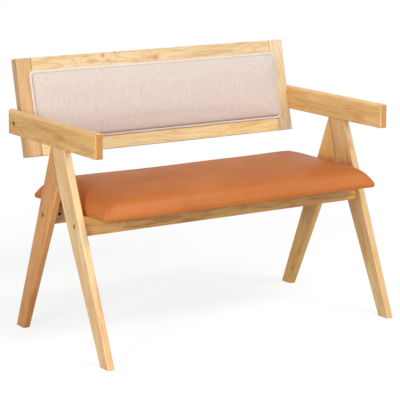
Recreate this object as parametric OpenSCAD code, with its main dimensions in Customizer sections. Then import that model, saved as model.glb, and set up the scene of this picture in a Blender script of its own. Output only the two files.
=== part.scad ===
// Dining bench with two A-frame sides, armrests on edge, an upholstered seat and a padded back.
// Millimetres, +Z up, the front faces -Y. The origin is on the floor, at the middle of the bench.
// Pieces are worked out about the middle of the A-frames, and place() then moves them to the origin.

/* [A-frame sides] */
// Width over the two armrests
bench_w = 1000; // [800:10:1400]
// Height from the floor to the underside of the armrests
frame_h = 577; // [550:1:620]
// Spread of the feet, from front corner to rear corner
foot_spread = 554; // [520:1:600]
// Width of a leg at the floor
foot_w = 49; // [40:1:56]
// Height of the point where the front and rear leg meet
crotch_z = 464; // [445:1:485]
// Width of the two legs together under the armrest
top_w = 77; // [68:1:90]
// Width of the rear leg's tip under the armrest
tip_w = 7; // [4:0.5:12]
// Thickness of the legs
leg_t = 22; // [20:0.5:28]
// Rounding of the legs' long edges
leg_edge_r = 5; // [1:0.5:6]
// Easing of the two edges along the glued joint of the legs
joint_edge_r = 1; // [0.5:0.25:1.5]

/* [Armrests] */
// Length of an armrest in front of the A-frame's middle
arm_front = 222; // [190:1:260]
// Length of an armrest behind the A-frame's middle
arm_rear = 298; // [285:1:330]
// Height of an armrest board
arm_h = 73; // [68:1:90]
// Thickness of an armrest board, whose top is half round
arm_t = 24; // [22:0.5:32]
// Easing of the armrests' lower edges
arm_edge_r = 3; // [1:0.5:5]
// Rounding of the armrests' ends
arm_end_r = 5; // [2:0.5:8]

/* [Seat frame] */
// Height of the top of the seat rails
rail_top_z = 398; // [385:1:410]
// Height of a seat rail board
rail_h = 56; // [48:1:70]
// Thickness of a seat rail board
rail_t = 35; // [28:1:40]
// Distance of the rails in front of and behind the middle of the leg's width
rail_shift = 8; // [0:0.5:12]
// Rounding of the rails' long edges
rail_edge_r = 3; // [1:0.5:5]
// Width of a cross rail under the seat board
cross_w = 45; // [35:1:60]
// Height of a cross rail
cross_h = 22; // [18:1:30]
// Distance of the cross rails from the legs
cross_in = 187; // [150:1:250]

/* [Seat] */
// Depth of the seat cushion
seat_d = 418; // [380:1:440]
// Distance of the seat's middle in front of the A-frame's middle
seat_fore = 6; // [0:1:20]
// Gap between the seat cushion and the legs
seat_side_gap = 10; // [5:1:20]
// Thickness of the seat's plywood board
board_t = 15; // [12:0.5:18]
// Height of the cushion's widest line above the rails
girth_h = 8; // [5:0.5:12]
// Tuck of the cushion's lower edge under its widest line
girth_tuck = 4; // [2:0.5:5]
// Height of the cushion's rounded edge
edge_h = 50; // [40:1:60]
// Width of the cushion's rounded edge
edge_w = 60; // [45:1:75]
// Rise of the cushion's crown above its rounded edge
crown_h = 15; // [5:1:25]
// Radius of the cushion's corners at the lower edge
corner_r = 16; // [10:1:30]
// Spread of the corner radius for each unit of inset, as the hide is pulled down there
corner_pull = 0.75; // [0.4:0.05:1]
// Draw of the cushion's sides between its corners
seat_draw = 2.5; // [0:0.5:4]
// Thickness of the seat's hide
hide_t = 1.2; // [1:0.1:2]
// Width of the hide stapled under the board
hide_turn = 35; // [25:1:50]
// Thickness of the cloth under the board
cloth_t = 0.8; // [0.5:0.1:1]
// Gap round the cloth under the board
cloth_gap = 2; // [1:0.5:5]

/* [Back frame] */
// Lean of the back from upright, in degrees
back_lean = 13.2; // [8:0.1:18]
// Height of the back along its slope
back_h = 290; // [260:1:330]
// Length of the back below its bolts, along its slope
back_drop = 104; // [95:1:120]
// Thickness of the back's boards
back_t = 28; // [25:0.5:32]
// Width of the back's stiles
stile_w = 50; // [45:1:65]
// Width of the back's top and bottom rails
back_rail_w = 52; // [45:1:65]
// Rounding of the back frame's outer edges
back_edge_r = 2; // [1:0.5:4]
// Distance of the back's bolts from the armrests' rear ends
back_bolt_in = 34.5; // [28:0.5:45]
// Height of the back's bolts above the armrests' undersides
back_bolt_up = 34.5; // [28:0.5:40]
// Depth of the rebate that holds the rear panel
rebate_d = 14; // [12:0.5:16]
// Width of the rebate that holds the rear panel
rebate_w = 8; // [6:0.5:12]
// Corner radius of the rebate
rebate_r = 8; // [4:1:12]

/* [Back pad] */
// Overlap of the pad on the back frame
pad_lap = 14; // [13:0.5:18]
// Width of the sewn flange round the pad
flange_w = 8; // [6:0.5:10]
// Thickness of the flange
flange_t = 5; // [4.5:0.5:7]
// Depth of the seam line beside the flange
seam_d = 1.6; // [0.5:0.1:2]
// Thickness of the pad where its rounded edge ends
pad_edge_h = 18; // [14:1:26]
// Width of the pad's rounded edge
pad_edge_w = 34; // [20:1:45]
// Rise of the pad's crown above its rounded edge
pad_crown = 7; // [3:1:12]
// Radius of the pad's corners
pad_corner_r = 15; // [12:1:25]
// Draw of the pad's sides between its corners
pad_draw = 1.5; // [0:0.5:3]
// Thickness of the pad's fabric
fabric_t = 0.8; // [0.6:0.1:1.2]
// Width of the fabric turned behind the pad's board, from the flange's edge
pad_turn = 22; // [18:1:28]
// Thickness of the pad's plywood board
pad_board_t = 6; // [5:0.5:8]
// Thickness of the rear panel's plywood board
rear_board_t = 9; // [6:0.5:10]
// Gap between the rear panel and its rebate
rear_gap = 0.6; // [0.3:0.1:1]
// Number of panel bolts along the back
panel_cols = 4; // [2:1:6]
// Distance of the panel bolts from the edges of the opening
panel_bolt_in = 24; // [18:1:40]

/* [Bolts and dowels] */
// Diameter of the frame bolts
bolt_d = 6; // [5:0.5:8]
// Diameter of a frame bolt's head
bolt_head_d = 12.5; // [11:0.5:14]
// Draw-in of a bolt's or screw's head towards its outer face
head_taper = 1; // [0.5:0.25:2]
// Height of a frame bolt's head
bolt_head_h = 3; // [2.5:0.5:3.5]
// Radial gap between a frame bolt's head and its counterbore
head_gap = 0.75; // [0.5:0.25:1.5]
// Depth of the counterbore in the outer face
counterbore_deep = 8; // [4:0.5:10]
// Key width of the sockets in the bolt heads
socket_w = 4; // [3:0.5:5]
// Depth of the sockets in the bolt heads
socket_deep = 2; // [1:0.5:2.5]
// Distance of the barrel nuts from the rails' ends
barrel_in = 24; // [18:1:35]
// Diameter of a barrel nut
barrel_d = 10; // [9.5:0.5:12]
// Length of a barrel nut
barrel_l = 15; // [12:1:20]
// Width of the screwdriver slot in the end of a barrel nut
slot_w = 1.2; // [0.8:0.1:1.6]
// Depth of the screwdriver slot in the end of a barrel nut
slot_d = 1; // [0.5:0.25:1.5]
// Reach of a rail bolt past its barrel nut's middle
bolt_past = 9; // [7:1:12]
// Diameter of the threaded inserts in the back's stiles
insert_d = 11; // [9:0.5:12]
// Length of the threaded inserts
insert_l = 14; // [10:1:18]
// Diameter of the thin dowels
dowel_d = 8; // [6:1:10]
// Length of the thin dowels
dowel_l = 36; // [30:1:38]
// Diameter of the armrest dowels
arm_dowel_d = 10; // [8:1:12]
// Length of the armrest dowels
arm_dowel_l = 50; // [40:1:60]
// Distance of a rail dowel above and below the rail bolt
rail_dowel_off = 17; // [14:0.5:18]
// Distance between the two dowels in a joint of the back frame
back_dowel_gap = 24; // [18:1:28]
// Distance of the dowel above the bolt between an armrest and the back
pin_up = 22; // [18:0.5:24]
// Diameter of the seat screws
screw_d = 4; // [3.5:0.5:5]
// Length of the seat screws
screw_l = 34; // [30:1:36]
// Diameter of a seat screw's head
screw_head_d = 8; // [7.5:0.5:9]
// Height of a seat screw's head
screw_head_h = 3; // [2.5:0.5:4]
// Width of the six-sided socket in a seat screw's head
screw_socket_w = 3; // [2:0.5:4]
// Depth of the socket in a seat screw's head
screw_socket_deep = 1.5; // [1:0.5:2]
// Distance of the outer seat screws in a cross rail from its middle
screw_y = 52; // [35:1:60]
// Distance of the seat screws in the front and rear rails from the legs
rail_screw_in = 87; // [70:1:120]
// Radial gap between a seat screw's head and its bore
screw_head_gap = 0.5; // [0.25:0.25:1.5]
// Diameter of the panel bolts
panel_bolt_d = 5; // [4:0.5:6]
// Diameter of a panel bolt's head
panel_head_d = 10; // [9:0.5:12]
// Height of a panel bolt's head
panel_head_h = 3; // [2:0.5:3.5]
// Diameter of a tee nut's flange
tee_flange_d = 16; // [14:1:20]
// Thickness of a tee nut's flange
tee_flange_t = 1.2; // [1:0.1:1.5]
// Thickness of the wall of a tee nut's barrel
tee_wall = 1; // [0.75:0.25:1.5]

/* [Clearances] */
// Radial clearance of a dowel, nut or bolt in its hole
hole_gap = 0.1; // [0.05:0.05:0.3]
// Clearance of a hole's bottom past the end of its dowel
end_gap = 1; // [0.5:0.5:2]
// Clearance between soft pieces and what they lie against
soft_gap = 0.3; // [0.2:0.1:0.5]

/* [Hidden] */

$fn = 48;
eps = 0.05; // Overlap of a cut past the face that it opens
far = 900; // Longer than any board, for cuts that run right through

// Edges of the A-frame in the YZ plane, as points at the floor and under the armrest
foot_out = foot_spread / 2;
foot_in = foot_out - foot_w;
front_foot = [-foot_out, 0];
front_top = [-top_w / 2, frame_h];
rear_foot = [foot_out, 0];
rear_top = [top_w / 2, frame_h];
front_heel = [-foot_in, 0];
rear_heel = [foot_in, 0];
crotch = [0, crotch_z];
joint_top = [top_w / 2 - tip_w, frame_h];

slab_reach = 1.25 * frame_h; // Longer than a leg, for the slabs that a leg is cut from

// Dowels across the glued joint of the legs, and those that stand in the top of a front leg
joint_lean = atan2(joint_top[0] - crotch[0], joint_top[1] - crotch[1]);
joint_dowel_z = [for (f = [0.28, 0.64]) crotch_z + f * (frame_h - arm_dowel_l / 2 - crotch_z)];
arm_dowel_y = [for (f = [0.25, 0.72]) front_top[0] + f * (joint_top[0] - front_top[0])];

// Distances across the bench
side_x = bench_w / 2 - arm_t / 2;
leg_in_x = side_x - leg_t / 2;
arm_in_x = side_x - arm_t / 2;
cross_x = leg_in_x - cross_in;
rail_screw_x = leg_in_x - rail_screw_in;

// Seat rails, near the middle of the leg's width where their bolts pass
rail_mid_z = rail_top_z - rail_h / 2;
leg_front_y = edge_y(front_foot, front_top, rail_mid_z);
leg_back_y = edge_y(front_heel, crotch, rail_mid_z);
rail_y = -(leg_front_y + leg_back_y) / 2 + rail_shift;
rail_in_y = rail_y - rail_t / 2;

// Parts of a rail dowel in the leg, of a cross rail dowel in the seat rail, of a pin in the armrest
rail_dowel_in = leg_t / 2;
cross_dowel_in = rail_t / 2;
pin_out = arm_t / 2 - end_gap;
rail_dowel_x = leg_in_x + rail_dowel_in - dowel_l / 2;
cross_dowel_z = rail_top_z - cross_h / 2;

// Bolts: the hole in a rail's end, and the head's outer face from the middle of its board
bolt_room = barrel_in + bolt_past + end_gap;
head_sunk = counterbore_deep - bolt_head_h;

// Seat
seat_a = leg_in_x - seat_side_gap;
seat_b = seat_d / 2;
board_a = seat_a - girth_tuck - hide_t - seat_draw - soft_gap;
board_b = seat_b - girth_tuck - hide_t - seat_draw - soft_gap;
board_z = rail_top_z + hide_t;
turn_a = seat_a - girth_tuck - hide_turn;
turn_b = seat_b - girth_tuck - hide_turn;
turn_r = 20; // Corner radius of the opening that the turned hide leaves
screw_head_z = rail_top_z - cross_h;
seat_screw_xy = [
    for (sx = [-1, 1], sy = [-1, 0, 1]) [sx * cross_x, sy * screw_y],
    for (sx = [-1, 1], sy = [-1, 1]) [sx * rail_screw_x, sy * rail_y],
];

// Back, in its own frame: x along the bench, y rearwards through the back, z up its slope
back_bolt_y = arm_rear - back_bolt_in;
back_bolt_z = frame_h + back_bolt_up;
open_a = arm_in_x - stile_w;
open_lo = back_rail_w;
open_hi = back_h - back_rail_w;
back_mid = back_h / 2;
open_b = (open_hi - open_lo) / 2;
pad_a = open_a + pad_lap;
pad_b = open_b + pad_lap;
pad_edge_rise = pad_edge_h - flange_t + seam_d;
pad_board_a = pad_a - flange_w - fabric_t - pad_draw - soft_gap;
pad_board_b = pad_b - flange_w - fabric_t - pad_draw - soft_gap;
lip_t = back_t - rebate_d;
rear_face = lip_t + rear_board_t;
tee_barrel_d = panel_bolt_d + 2 * tee_wall;
panel_x = open_a - panel_bolt_in;
panel_z = open_b - panel_bolt_in;
panel_bolt_xz = [
    for (i = [0 : panel_cols - 1], s = [-1, 1]) [panel_x * (2 * i / (panel_cols - 1) - 1), s * panel_z],
];

// Padded forms are built of rings. Each ring has arc_n steps round a corner, long_n along a long side
// and short_n along a short side. The steps are shares of a form's rounded edge, then of its crown.
arc_n = 4;
long_n = 10;
short_n = 5;
ring_n = 4 * (arc_n + 1) + 2 * (long_n - 1) + 2 * (short_n - 1);
seat_steps = [0, 0.03, 0.12, 0.3, 0.6, 1];
pad_steps = [0, 0.1, 0.3, 0.6, 1];
crown_steps = [0.5, 1];
roundness = 2.2; // Fullness of a rounded edge, where 2 is an ellipse
skin_share = 0.3; // Share of a rounded edge over which a skin comes to its whole thickness
last_half = 20; // Half width of a form's last ring
side_least = 8; // Least half length of a ring's straight side

// The bench reaches from the front feet to the rounded rear top edge of the back
front_reach = foot_out;
rear_reach = back_bolt_y + (back_h - back_drop - back_edge_r) * sin(back_lean)
    + (back_t / 2 - back_edge_r) * cos(back_lean) + back_edge_r;
middle_y = (rear_reach - front_reach) / 2;

wood_colour = "#e3bd85";
pale_colour = "#ecd0a0";
steel_colour = "#9a9a98";
hide_colour = "#c0703c";
fabric_colour = "#e8d9cd";
foam_colour = "#f2e6b8";
ply_colour = "#d9b98a";
cloth_colour = "#2b2b2b";

// Y of an edge line at a height
function edge_y(foot, top, z) = foot[0] + (top[0] - foot[0]) * (z - foot[1]) / (top[1] - foot[1]);

// Moves a piece from the A-frame's middle to the bench's origin
module place() {
    translate([0, -middle_y, 0]) children();
}

// Takes a piece from the back's own frame to its lean between the armrests
module on_back() {
    place() translate([0, back_bolt_y, back_bolt_z]) rotate([-back_lean, 0, 0])
        translate([0, -back_t / 2, -back_drop]) children();
}

// A rectangle from p to q whose four corners have the radius r
module round_rect(p, q, r) {
    union() {
        translate([p[0], p[1] + r]) square([q[0] - p[0], q[1] - p[1] - 2 * r]);
        translate([p[0] + r, p[1]]) square([q[0] - p[0] - 2 * r, q[1] - p[1]]);
        for (x = [p[0] + r, q[0] - r], y = [p[1] + r, q[1] - r]) translate([x, y]) circle(r);
    }
}

// A board along X with rounded long edges: from y0 to y1 and z0 to z1
module board_x(half, y0, y1, z0, z1, r) {
    rotate([90, 0, 90]) translate([0, 0, -half]) linear_extrude(2 * half)
        round_rect([y0, z0], [y1, z1], r);
}

// A rod along X, Y or Z with its middle at the origin
module rod_x(l, d) {
    rotate([0, 90, 0]) cylinder(h = l, d = d, center = true);
}

module rod_y(l, d) {
    rotate([90, 0, 0]) cylinder(h = l, d = d, center = true);
}

module rod_z(l, d) {
    cylinder(h = l, d = d, center = true);
}

// Everything on one side of the edge line from a to b, as thick as a leg, with that edge rounded
module edge_slab(a, b, side, r) {
    lean = atan2(b[0] - a[0], b[1] - a[1]);
    translate([0, a[0], a[1]]) rotate([-lean, 0, 0]) translate([0, 0, -slab_reach])
        linear_extrude(2 * slab_reach) mirror([0, side < 0 ? 1 : 0, 0])
        round_rect([-leg_t / 2, 0], [leg_t / 2, slab_reach], r);
}

// One side of the glued joint, which starts at the crotch and cuts nothing below it
module joint_side(side) {
    edge_slab(crotch, joint_top, side, joint_edge_r);
    translate([-leg_t, -far, crotch_z - far]) cube([2 * leg_t, 2 * far, far]);
}

// The stretch from the floor to the underside of the armrest
module leg_length() {
    translate([-leg_t / 2, -far, 0]) cube([leg_t, 2 * far, frame_h]);
}

// Middles of the dowels across the glued joint, turned square to the joint line
module at_joint_dowels() {
    for (z = joint_dowel_z)
        translate([0, edge_y(crotch, joint_top, z), z]) rotate([-joint_lean, 0, 0]) children();
}

// Places of the dowels that stand in the top of a front leg
module at_arm_dowels() {
    for (y = arm_dowel_y) translate([0, y, frame_h]) children();
}

// A counterbored bolt hole through a board, from its outer face at +X
module bolt_hole(outer) {
    rod_x(far, bolt_d + 2 * hole_gap);
    translate([outer - counterbore_deep, 0, 0]) rotate([0, 90, 0])
        cylinder(h = far, d = bolt_head_d + 2 * head_gap);
}

// Holes for the bolt and the two dowels that hold a seat rail, in the leg on the +X side
module rail_joint_holes(y) {
    translate([0, y, rail_mid_z]) {
        bolt_hole(leg_t / 2);
        for (s = [-1, 1]) translate([-leg_t / 2, 0, s * rail_dowel_off])
            rod_x(rail_dowel_in * 2 + 2 * end_gap, dowel_d + 2 * hole_gap);
    }
}

module front_leg() {
    color(wood_colour) difference() {
        intersection() {
            edge_slab(front_foot, front_top, 1, leg_edge_r);
            edge_slab(front_heel, crotch, -1, leg_edge_r);
            joint_side(-1);
            leg_length();
        }
        at_joint_dowels() rod_y(dowel_l + 2 * end_gap, dowel_d + 2 * hole_gap);
        at_arm_dowels() rod_z(arm_dowel_l + 2 * end_gap, arm_dowel_d + 2 * hole_gap);
        rail_joint_holes(-rail_y);
    }
}

module rear_leg() {
    color(wood_colour) difference() {
        intersection() {
            edge_slab(rear_foot, rear_top, -1, leg_edge_r);
            edge_slab(rear_heel, crotch, 1, leg_edge_r);
            joint_side(1);
            leg_length();
        }
        at_joint_dowels() rod_y(dowel_l + 2 * end_gap, dowel_d + 2 * hole_gap);
        rail_joint_holes(rail_y);
    }
}

// Puts a piece made for the right side there, or mirrors it to the left
module on_side(side) {
    place() mirror([side < 0 ? 1 : 0, 0, 0]) translate([side_x, 0, 0]) children();
}

module left_front_leg() {
    on_side(-1) front_leg();
}

module left_rear_leg() {
    on_side(-1) rear_leg();
}

module right_front_leg() {
    on_side(1) front_leg();
}

module right_rear_leg() {
    on_side(1) rear_leg();
}

module leg_joint_dowels() {
    color(pale_colour) for (side = [-1, 1]) on_side(side) at_joint_dowels() rod_y(dowel_l, dowel_d);
}

// The board on edge: a half-round top, eased lower edges and softened ends
module armrest() {
    half = arm_t / 2;
    top = frame_h + arm_h;
    color(wood_colour) difference() {
        intersection() {
            rotate([90, 0, 0]) translate([0, 0, -arm_rear]) linear_extrude(arm_front + arm_rear) union() {
                translate([0, top - half]) circle(half);
                round_rect([-half, frame_h], [half, top - half + arm_edge_r], arm_edge_r);
                translate([-half, frame_h + arm_edge_r])
                    square([arm_t, arm_h - half - arm_edge_r]);
            }
            translate([0, 0, frame_h - eps]) linear_extrude(arm_h + 2 * eps)
                round_rect([-half, -arm_front], [half, arm_rear], arm_end_r);
            rotate([90, 0, 90]) translate([0, 0, -arm_t]) linear_extrude(2 * arm_t)
                round_rect([-arm_front, frame_h], [arm_rear, top], arm_end_r);
        }
        at_arm_dowels() rod_z(arm_dowel_l + 2 * end_gap, arm_dowel_d + 2 * hole_gap);
        translate([0, back_bolt_y, back_bolt_z]) {
            bolt_hole(half);
            rotate([-back_lean, 0, 0]) translate([-half, 0, pin_up])
                rod_x(2 * (pin_out + end_gap), dowel_d + 2 * hole_gap);
        }
    }
}

module left_armrest() {
    on_side(-1) armrest();
}

module right_armrest() {
    on_side(1) armrest();
}

module armrest_dowels() {
    color(pale_colour) for (side = [-1, 1]) on_side(side) at_arm_dowels() rod_z(arm_dowel_l, arm_dowel_d);
}

// The two ends of a seat rail, turned so that +X points out of the end
module at_rail_ends(y) {
    for (s = [-1, 1]) translate([s * leg_in_x, y, rail_mid_z]) mirror([s < 0 ? 1 : 0, 0, 0]) children();
}

// Places of the dowels between the cross rails and a seat rail; side is -1 at the front
module at_cross_dowels(side) {
    y = side * (rail_in_y + cross_dowel_in - dowel_l / 2);
    for (s = [-1, 1], d = [-1, 1]) translate([s * cross_x + d * cross_w / 4, y, cross_dowel_z]) children();
}

// The hole of a seat screw, with a flat-bottomed bore from below for its head
module screw_hole() {
    translate([0, 0, rail_mid_z]) rod_z(far, screw_d + 2 * hole_gap);
    translate([0, 0, screw_head_z + screw_head_h - far])
        cylinder(h = far, d = screw_head_d + 2 * screw_head_gap);
}

// A seat rail at the front (-1) or the rear (1)
module seat_rail(side) {
    y = side * rail_y;
    color(wood_colour) place() difference() {
        board_x(leg_in_x, y - rail_t / 2, y + rail_t / 2, rail_top_z - rail_h, rail_top_z, rail_edge_r);
        at_rail_ends(y) {
            translate([-bolt_room / 2, 0, 0]) rod_x(bolt_room, bolt_d + 2 * hole_gap);
            for (d = [-1, 1]) translate([0, 0, d * rail_dowel_off])
                rod_x(2 * (dowel_l - rail_dowel_in + end_gap), dowel_d + 2 * hole_gap);
            translate([-barrel_in, side * (-rail_t + barrel_l) / 2, 0])
                rod_y(rail_t, barrel_d + 2 * hole_gap);
        }
        at_cross_dowels(side) rod_y(dowel_l + 2 * end_gap, dowel_d + 2 * hole_gap);
        for (s = [-1, 1]) translate([s * rail_screw_x, y, 0]) screw_hole();
    }
}

module front_seat_rail() {
    seat_rail(-1);
}

module rear_seat_rail() {
    seat_rail(1);
}

// A cross rail between the two seat rails, under the seat board
module cross_rail(side) {
    color(wood_colour) place() difference() {
        translate([side * cross_x, rail_in_y, 0]) rotate([90, 0, 0]) linear_extrude(2 * rail_in_y)
            round_rect([-cross_w / 2, rail_top_z - cross_h], [cross_w / 2, rail_top_z], rail_edge_r);
        for (end = [-1, 1]) at_cross_dowels(end) rod_y(dowel_l + 2 * end_gap, dowel_d + 2 * hole_gap);
        for (s = [-1, 0, 1]) translate([side * cross_x, s * screw_y, 0]) screw_hole();
    }
}

module left_cross_rail() {
    cross_rail(-1);
}

module right_cross_rail() {
    cross_rail(1);
}

// A bolt along X with its head's outer face at the origin and its shank towards -X
module frame_bolt(l) {
    difference() {
        union() {
            translate([-bolt_head_h, 0, 0]) rotate([0, 90, 0])
                cylinder(h = bolt_head_h, d1 = bolt_head_d, d2 = bolt_head_d - head_taper);
            translate([-l, 0, 0]) rotate([0, 90, 0]) cylinder(h = l - bolt_head_h + eps, d = bolt_d);
        }
        translate([-socket_deep, 0, 0]) rotate([0, 90, 0])
            cylinder(h = far, d = socket_w / cos(30), $fn = 6);
    }
}

module rail_bolts() {
    color(steel_colour) for (side = [-1, 1], y = [-rail_y, rail_y]) on_side(side)
        translate([leg_t / 2 - head_sunk, y, rail_mid_z])
            frame_bolt(leg_t - head_sunk + barrel_in + bolt_past);
}

// Barrel nuts, cross-drilled for the bolts and slotted on the end that faces inwards
module rail_barrel_nuts() {
    color(steel_colour) place() for (side = [-1, 1]) at_rail_ends(side * rail_y) translate([-barrel_in, 0, 0])
        difference() {
            rod_y(barrel_l, barrel_d);
            rod_x(2 * barrel_d, bolt_d + 2 * hole_gap);
            translate([0, -side * barrel_l / 2, 0]) cube([2 * barrel_d, 2 * slot_d, slot_w], center = true);
        }
}

module rail_dowels() {
    color(pale_colour) place() for (sx = [-1, 1], y = [-rail_y, rail_y], d = [-1, 1])
        translate([sx * rail_dowel_x, y, rail_mid_z + d * rail_dowel_off]) rod_x(dowel_l, dowel_d);
}

module cross_rail_dowels() {
    color(pale_colour) place() for (side = [-1, 1]) at_cross_dowels(side) rod_y(dowel_l, dowel_d);
}

// Points round a rectangle with half sizes a and b and corner radius r, drawn in between its corners
function corner_point(a, b, r, q, i) =
    let (t = 90 * (q + i / arc_n), sx = q == 0 || q == 3 ? 1 : -1, sy = q < 2 ? 1 : -1)
    [sx * (a - r) + r * cos(t), sy * (b - r) + r * sin(t)];
function side_point(a, b, r, q, f, draw) =
    let (p = corner_point(a, b, r, q, arc_n), n = corner_point(a, b, r, (q + 1) % 4, 0))
    let (pull = draw * sin(180 * f), out = [cos(90 * (q + 1)), sin(90 * (q + 1))])
    p + (n - p) * f - out * pull;
function outline(a, b, r, draw) = [
    for (q = [0 : 3]) each [
        for (i = [0 : arc_n]) corner_point(a, b, r, q, i),
        let (steps = q % 2 == 0 ? long_n : short_n)
        for (i = [1 : steps - 1]) side_point(a, b, r, q, i / steps, draw),
    ],
];

// A closed form through rings of points, with a fan over its first and last ring.
// A ring is a height and the sizes of its outline: [z, a, b, r, draw].
module ringed_form(rings, top_z) {
    m = len(rings);
    points = [
        for (g = rings) each [for (p = outline(g[1], g[2], g[3], g[4])) [p[0], p[1], g[0]]],
        [0, 0, rings[0][0]],
        [0, 0, top_z],
    ];
    faces = [
        for (k = [0 : m - 2], i = [0 : ring_n - 1]) each
            let (j = (i + 1) % ring_n, lo = k * ring_n, hi = lo + ring_n)
            [[lo + i, hi + i, hi + j], [lo + i, hi + j, lo + j]],
        for (i = [0 : ring_n - 1]) [i, (i + 1) % ring_n, m * ring_n],
        for (i = [0 : ring_n - 1]) [(m - 1) * ring_n + (i + 1) % ring_n, (m - 1) * ring_n + i,
            m * ring_n + 1],
    ];
    polyhedron(points, faces);
}

// Insets of a form's rings: over its rounded edge of width w, then over its crown to the last ring
function insets(steps, w, last) = [for (f = steps) f * w, for (f = crown_steps) w + f * (last - w)];

// Height of a form at an inset d, above its widest line: a rounded edge of w by h, then a crown over
// the half width. A skin is taken off the top, and less of it near the widest line.
function rise(d, w, h, half, crown, skin) =
    h * pow(1 - pow(1 - min(d / w, 1), roundness), 1 / roundness)
    + crown * (1 - pow(1 - min(d / half, 1), 2)) - skin * min(1, d / (skin_share * w));

// The seat cushion's form, drawn in by a skin: tucked lower edge, widest line, rounded edge, crown.
// The corners open from a tight lower edge to a wide curve above, as pulled hide does.
module seat_form(skin) {
    girth_z = rail_top_z + girth_h;
    tuck = girth_tuck + skin;
    rings = [
        [rail_top_z + skin, seat_a - tuck, seat_b - tuck, corner_r, seat_draw],
        for (d = insets(seat_steps, edge_w, seat_b - last_half)) [
            girth_z + rise(d, edge_w, edge_h, seat_b, crown_h, skin),
            seat_a - d - skin,
            seat_b - d - skin,
            min(corner_r + corner_pull * d, seat_b - d - side_least),
            seat_draw * max(0, 1 - d / edge_w),
        ],
    ];
    translate([0, -seat_fore, 0]) ringed_form(rings, girth_z + edge_h + crown_h - skin);
}

module seat_board() {
    color(ply_colour) place() difference() {
        translate([0, -seat_fore, board_z]) linear_extrude(board_t)
            round_rect([-board_a, -board_b], [board_a, board_b], corner_r);
        for (p = seat_screw_xy) translate([p[0], p[1], screw_head_z])
            cylinder(h = screw_l + end_gap, d = screw_d + 2 * hole_gap);
    }
}

module seat_foam() {
    color(foam_colour) place() intersection() {
        seat_form(hide_t + soft_gap);
        translate([-far, -far, board_z + board_t + soft_gap]) cube([2 * far, 2 * far, far]);
    }
}

// The hide, wrapped over the foam and turned under the board, where it is stapled
module seat_cover() {
    color(hide_colour) place() difference() {
        seat_form(0);
        seat_form(hide_t);
        translate([0, -seat_fore, rail_top_z - eps]) linear_extrude(hide_t + 2 * eps)
            round_rect([-turn_a, -turn_b], [turn_a, turn_b], turn_r);
    }
}

module seat_bottom_cloth() {
    a = turn_a - cloth_gap;
    b = turn_b - cloth_gap;
    color(cloth_colour) place() difference() {
        translate([0, -seat_fore, board_z - cloth_t]) linear_extrude(cloth_t)
            round_rect([-a, -b], [a, b], turn_r);
        for (p = seat_screw_xy) translate([p[0], p[1], board_z]) rod_z(3 * cloth_t, screw_d + 2 * hole_gap);
    }
}

module seat_screws() {
    color(steel_colour) place() for (p = seat_screw_xy) translate([p[0], p[1], screw_head_z]) difference() {
        union() {
            cylinder(h = screw_head_h, d1 = screw_head_d - head_taper, d2 = screw_head_d);
            cylinder(h = screw_l, d = screw_d);
        }
        translate([0, 0, -eps]) cylinder(h = screw_socket_deep + eps, d = screw_socket_w, $fn = 6);
    }
}

// The dowels at the four corners of the back frame, in the back's own frame
module at_back_dowels() {
    for (s = [-1, 1], z = [back_rail_w / 2, back_h - back_rail_w / 2], d = [-1, 1])
        translate([s * open_a, back_t / 2, z + d * back_dowel_gap / 2]) children();
}

// Outline of the rebate round the opening, drawn in by an inset
module rear_outline(inset) {
    grow = rebate_w - inset;
    round_rect([-open_a - grow, open_lo - grow], [open_a + grow, open_hi + grow], rebate_r - inset);
}

// The rebate, cut from behind
module rebate() {
    rotate([90, 0, 0]) translate([0, 0, -far]) linear_extrude(far - lip_t)
        rear_outline(0);
}

// A stile on the +X side, from the bottom to the top of the back
module back_stile() {
    difference() {
        intersection() {
            translate([open_a, 0, 0]) linear_extrude(back_h)
                round_rect([0, 0], [stile_w, back_t], back_edge_r / 2);
            board_x(arm_in_x + eps, 0, back_t, 0, back_h, back_edge_r);
        }
        at_back_dowels() rod_x(dowel_l + 2 * end_gap, dowel_d + 2 * hole_gap);
        rebate();
        translate([arm_in_x, back_t / 2, back_drop]) {
            rod_x(2 * (insert_l + end_gap), insert_d + 2 * hole_gap);
            translate([0, 0, pin_up])
                rod_x(2 * (dowel_l - pin_out + end_gap), dowel_d + 2 * hole_gap);
        }
    }
}

module back_left_stile() {
    color(pale_colour) on_back() mirror([1, 0, 0]) back_stile();
}

module back_right_stile() {
    color(pale_colour) on_back() back_stile();
}

// A rail between the stiles; low is its lower edge
module back_rail(low) {
    color(pale_colour) on_back() difference() {
        board_x(open_a, 0, back_t, low, low + back_rail_w, back_edge_r);
        at_back_dowels() rod_x(dowel_l + 2 * end_gap, dowel_d + 2 * hole_gap);
        rebate();
    }
}

module back_top_rail() {
    back_rail(open_hi);
}

module back_bottom_rail() {
    back_rail(0);
}

module back_frame_dowels() {
    color(pale_colour) on_back() at_back_dowels() rod_x(dowel_l, dowel_d);
}

// Stands a piece that lies on its back in the XY plane up on the front of the back frame
module on_pad() {
    on_back() translate([0, 0, back_mid]) rotate([90, 0, 0]) children();
}

// A ring of the pad at a height z and an inset d from the flange's edge
function pad_ring(z, d, draw) =
    [z, pad_a - d, pad_b - d, min(pad_corner_r + max(0, d - flange_w), pad_b - d - side_least), draw];

// Rings from the pad's seam line to its crown, drawn in by a skin
function pad_dome(skin) = [
    for (d = insets(pad_steps, pad_edge_w, pad_b - flange_w - last_half)) pad_ring(
        flange_t - seam_d + rise(d, pad_edge_w, pad_edge_rise, pad_b - flange_w, pad_crown, skin),
        flange_w + skin + d,
        pad_draw * max(0, 1 - d / pad_edge_w)
    ),
];

// Everything inside the pad's skin, from a flat base at the height of the skin
module pad_core(skin) {
    ringed_form([pad_ring(skin, flange_w + skin, pad_draw), each pad_dome(skin)],
        pad_edge_h + pad_crown - skin);
}

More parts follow.
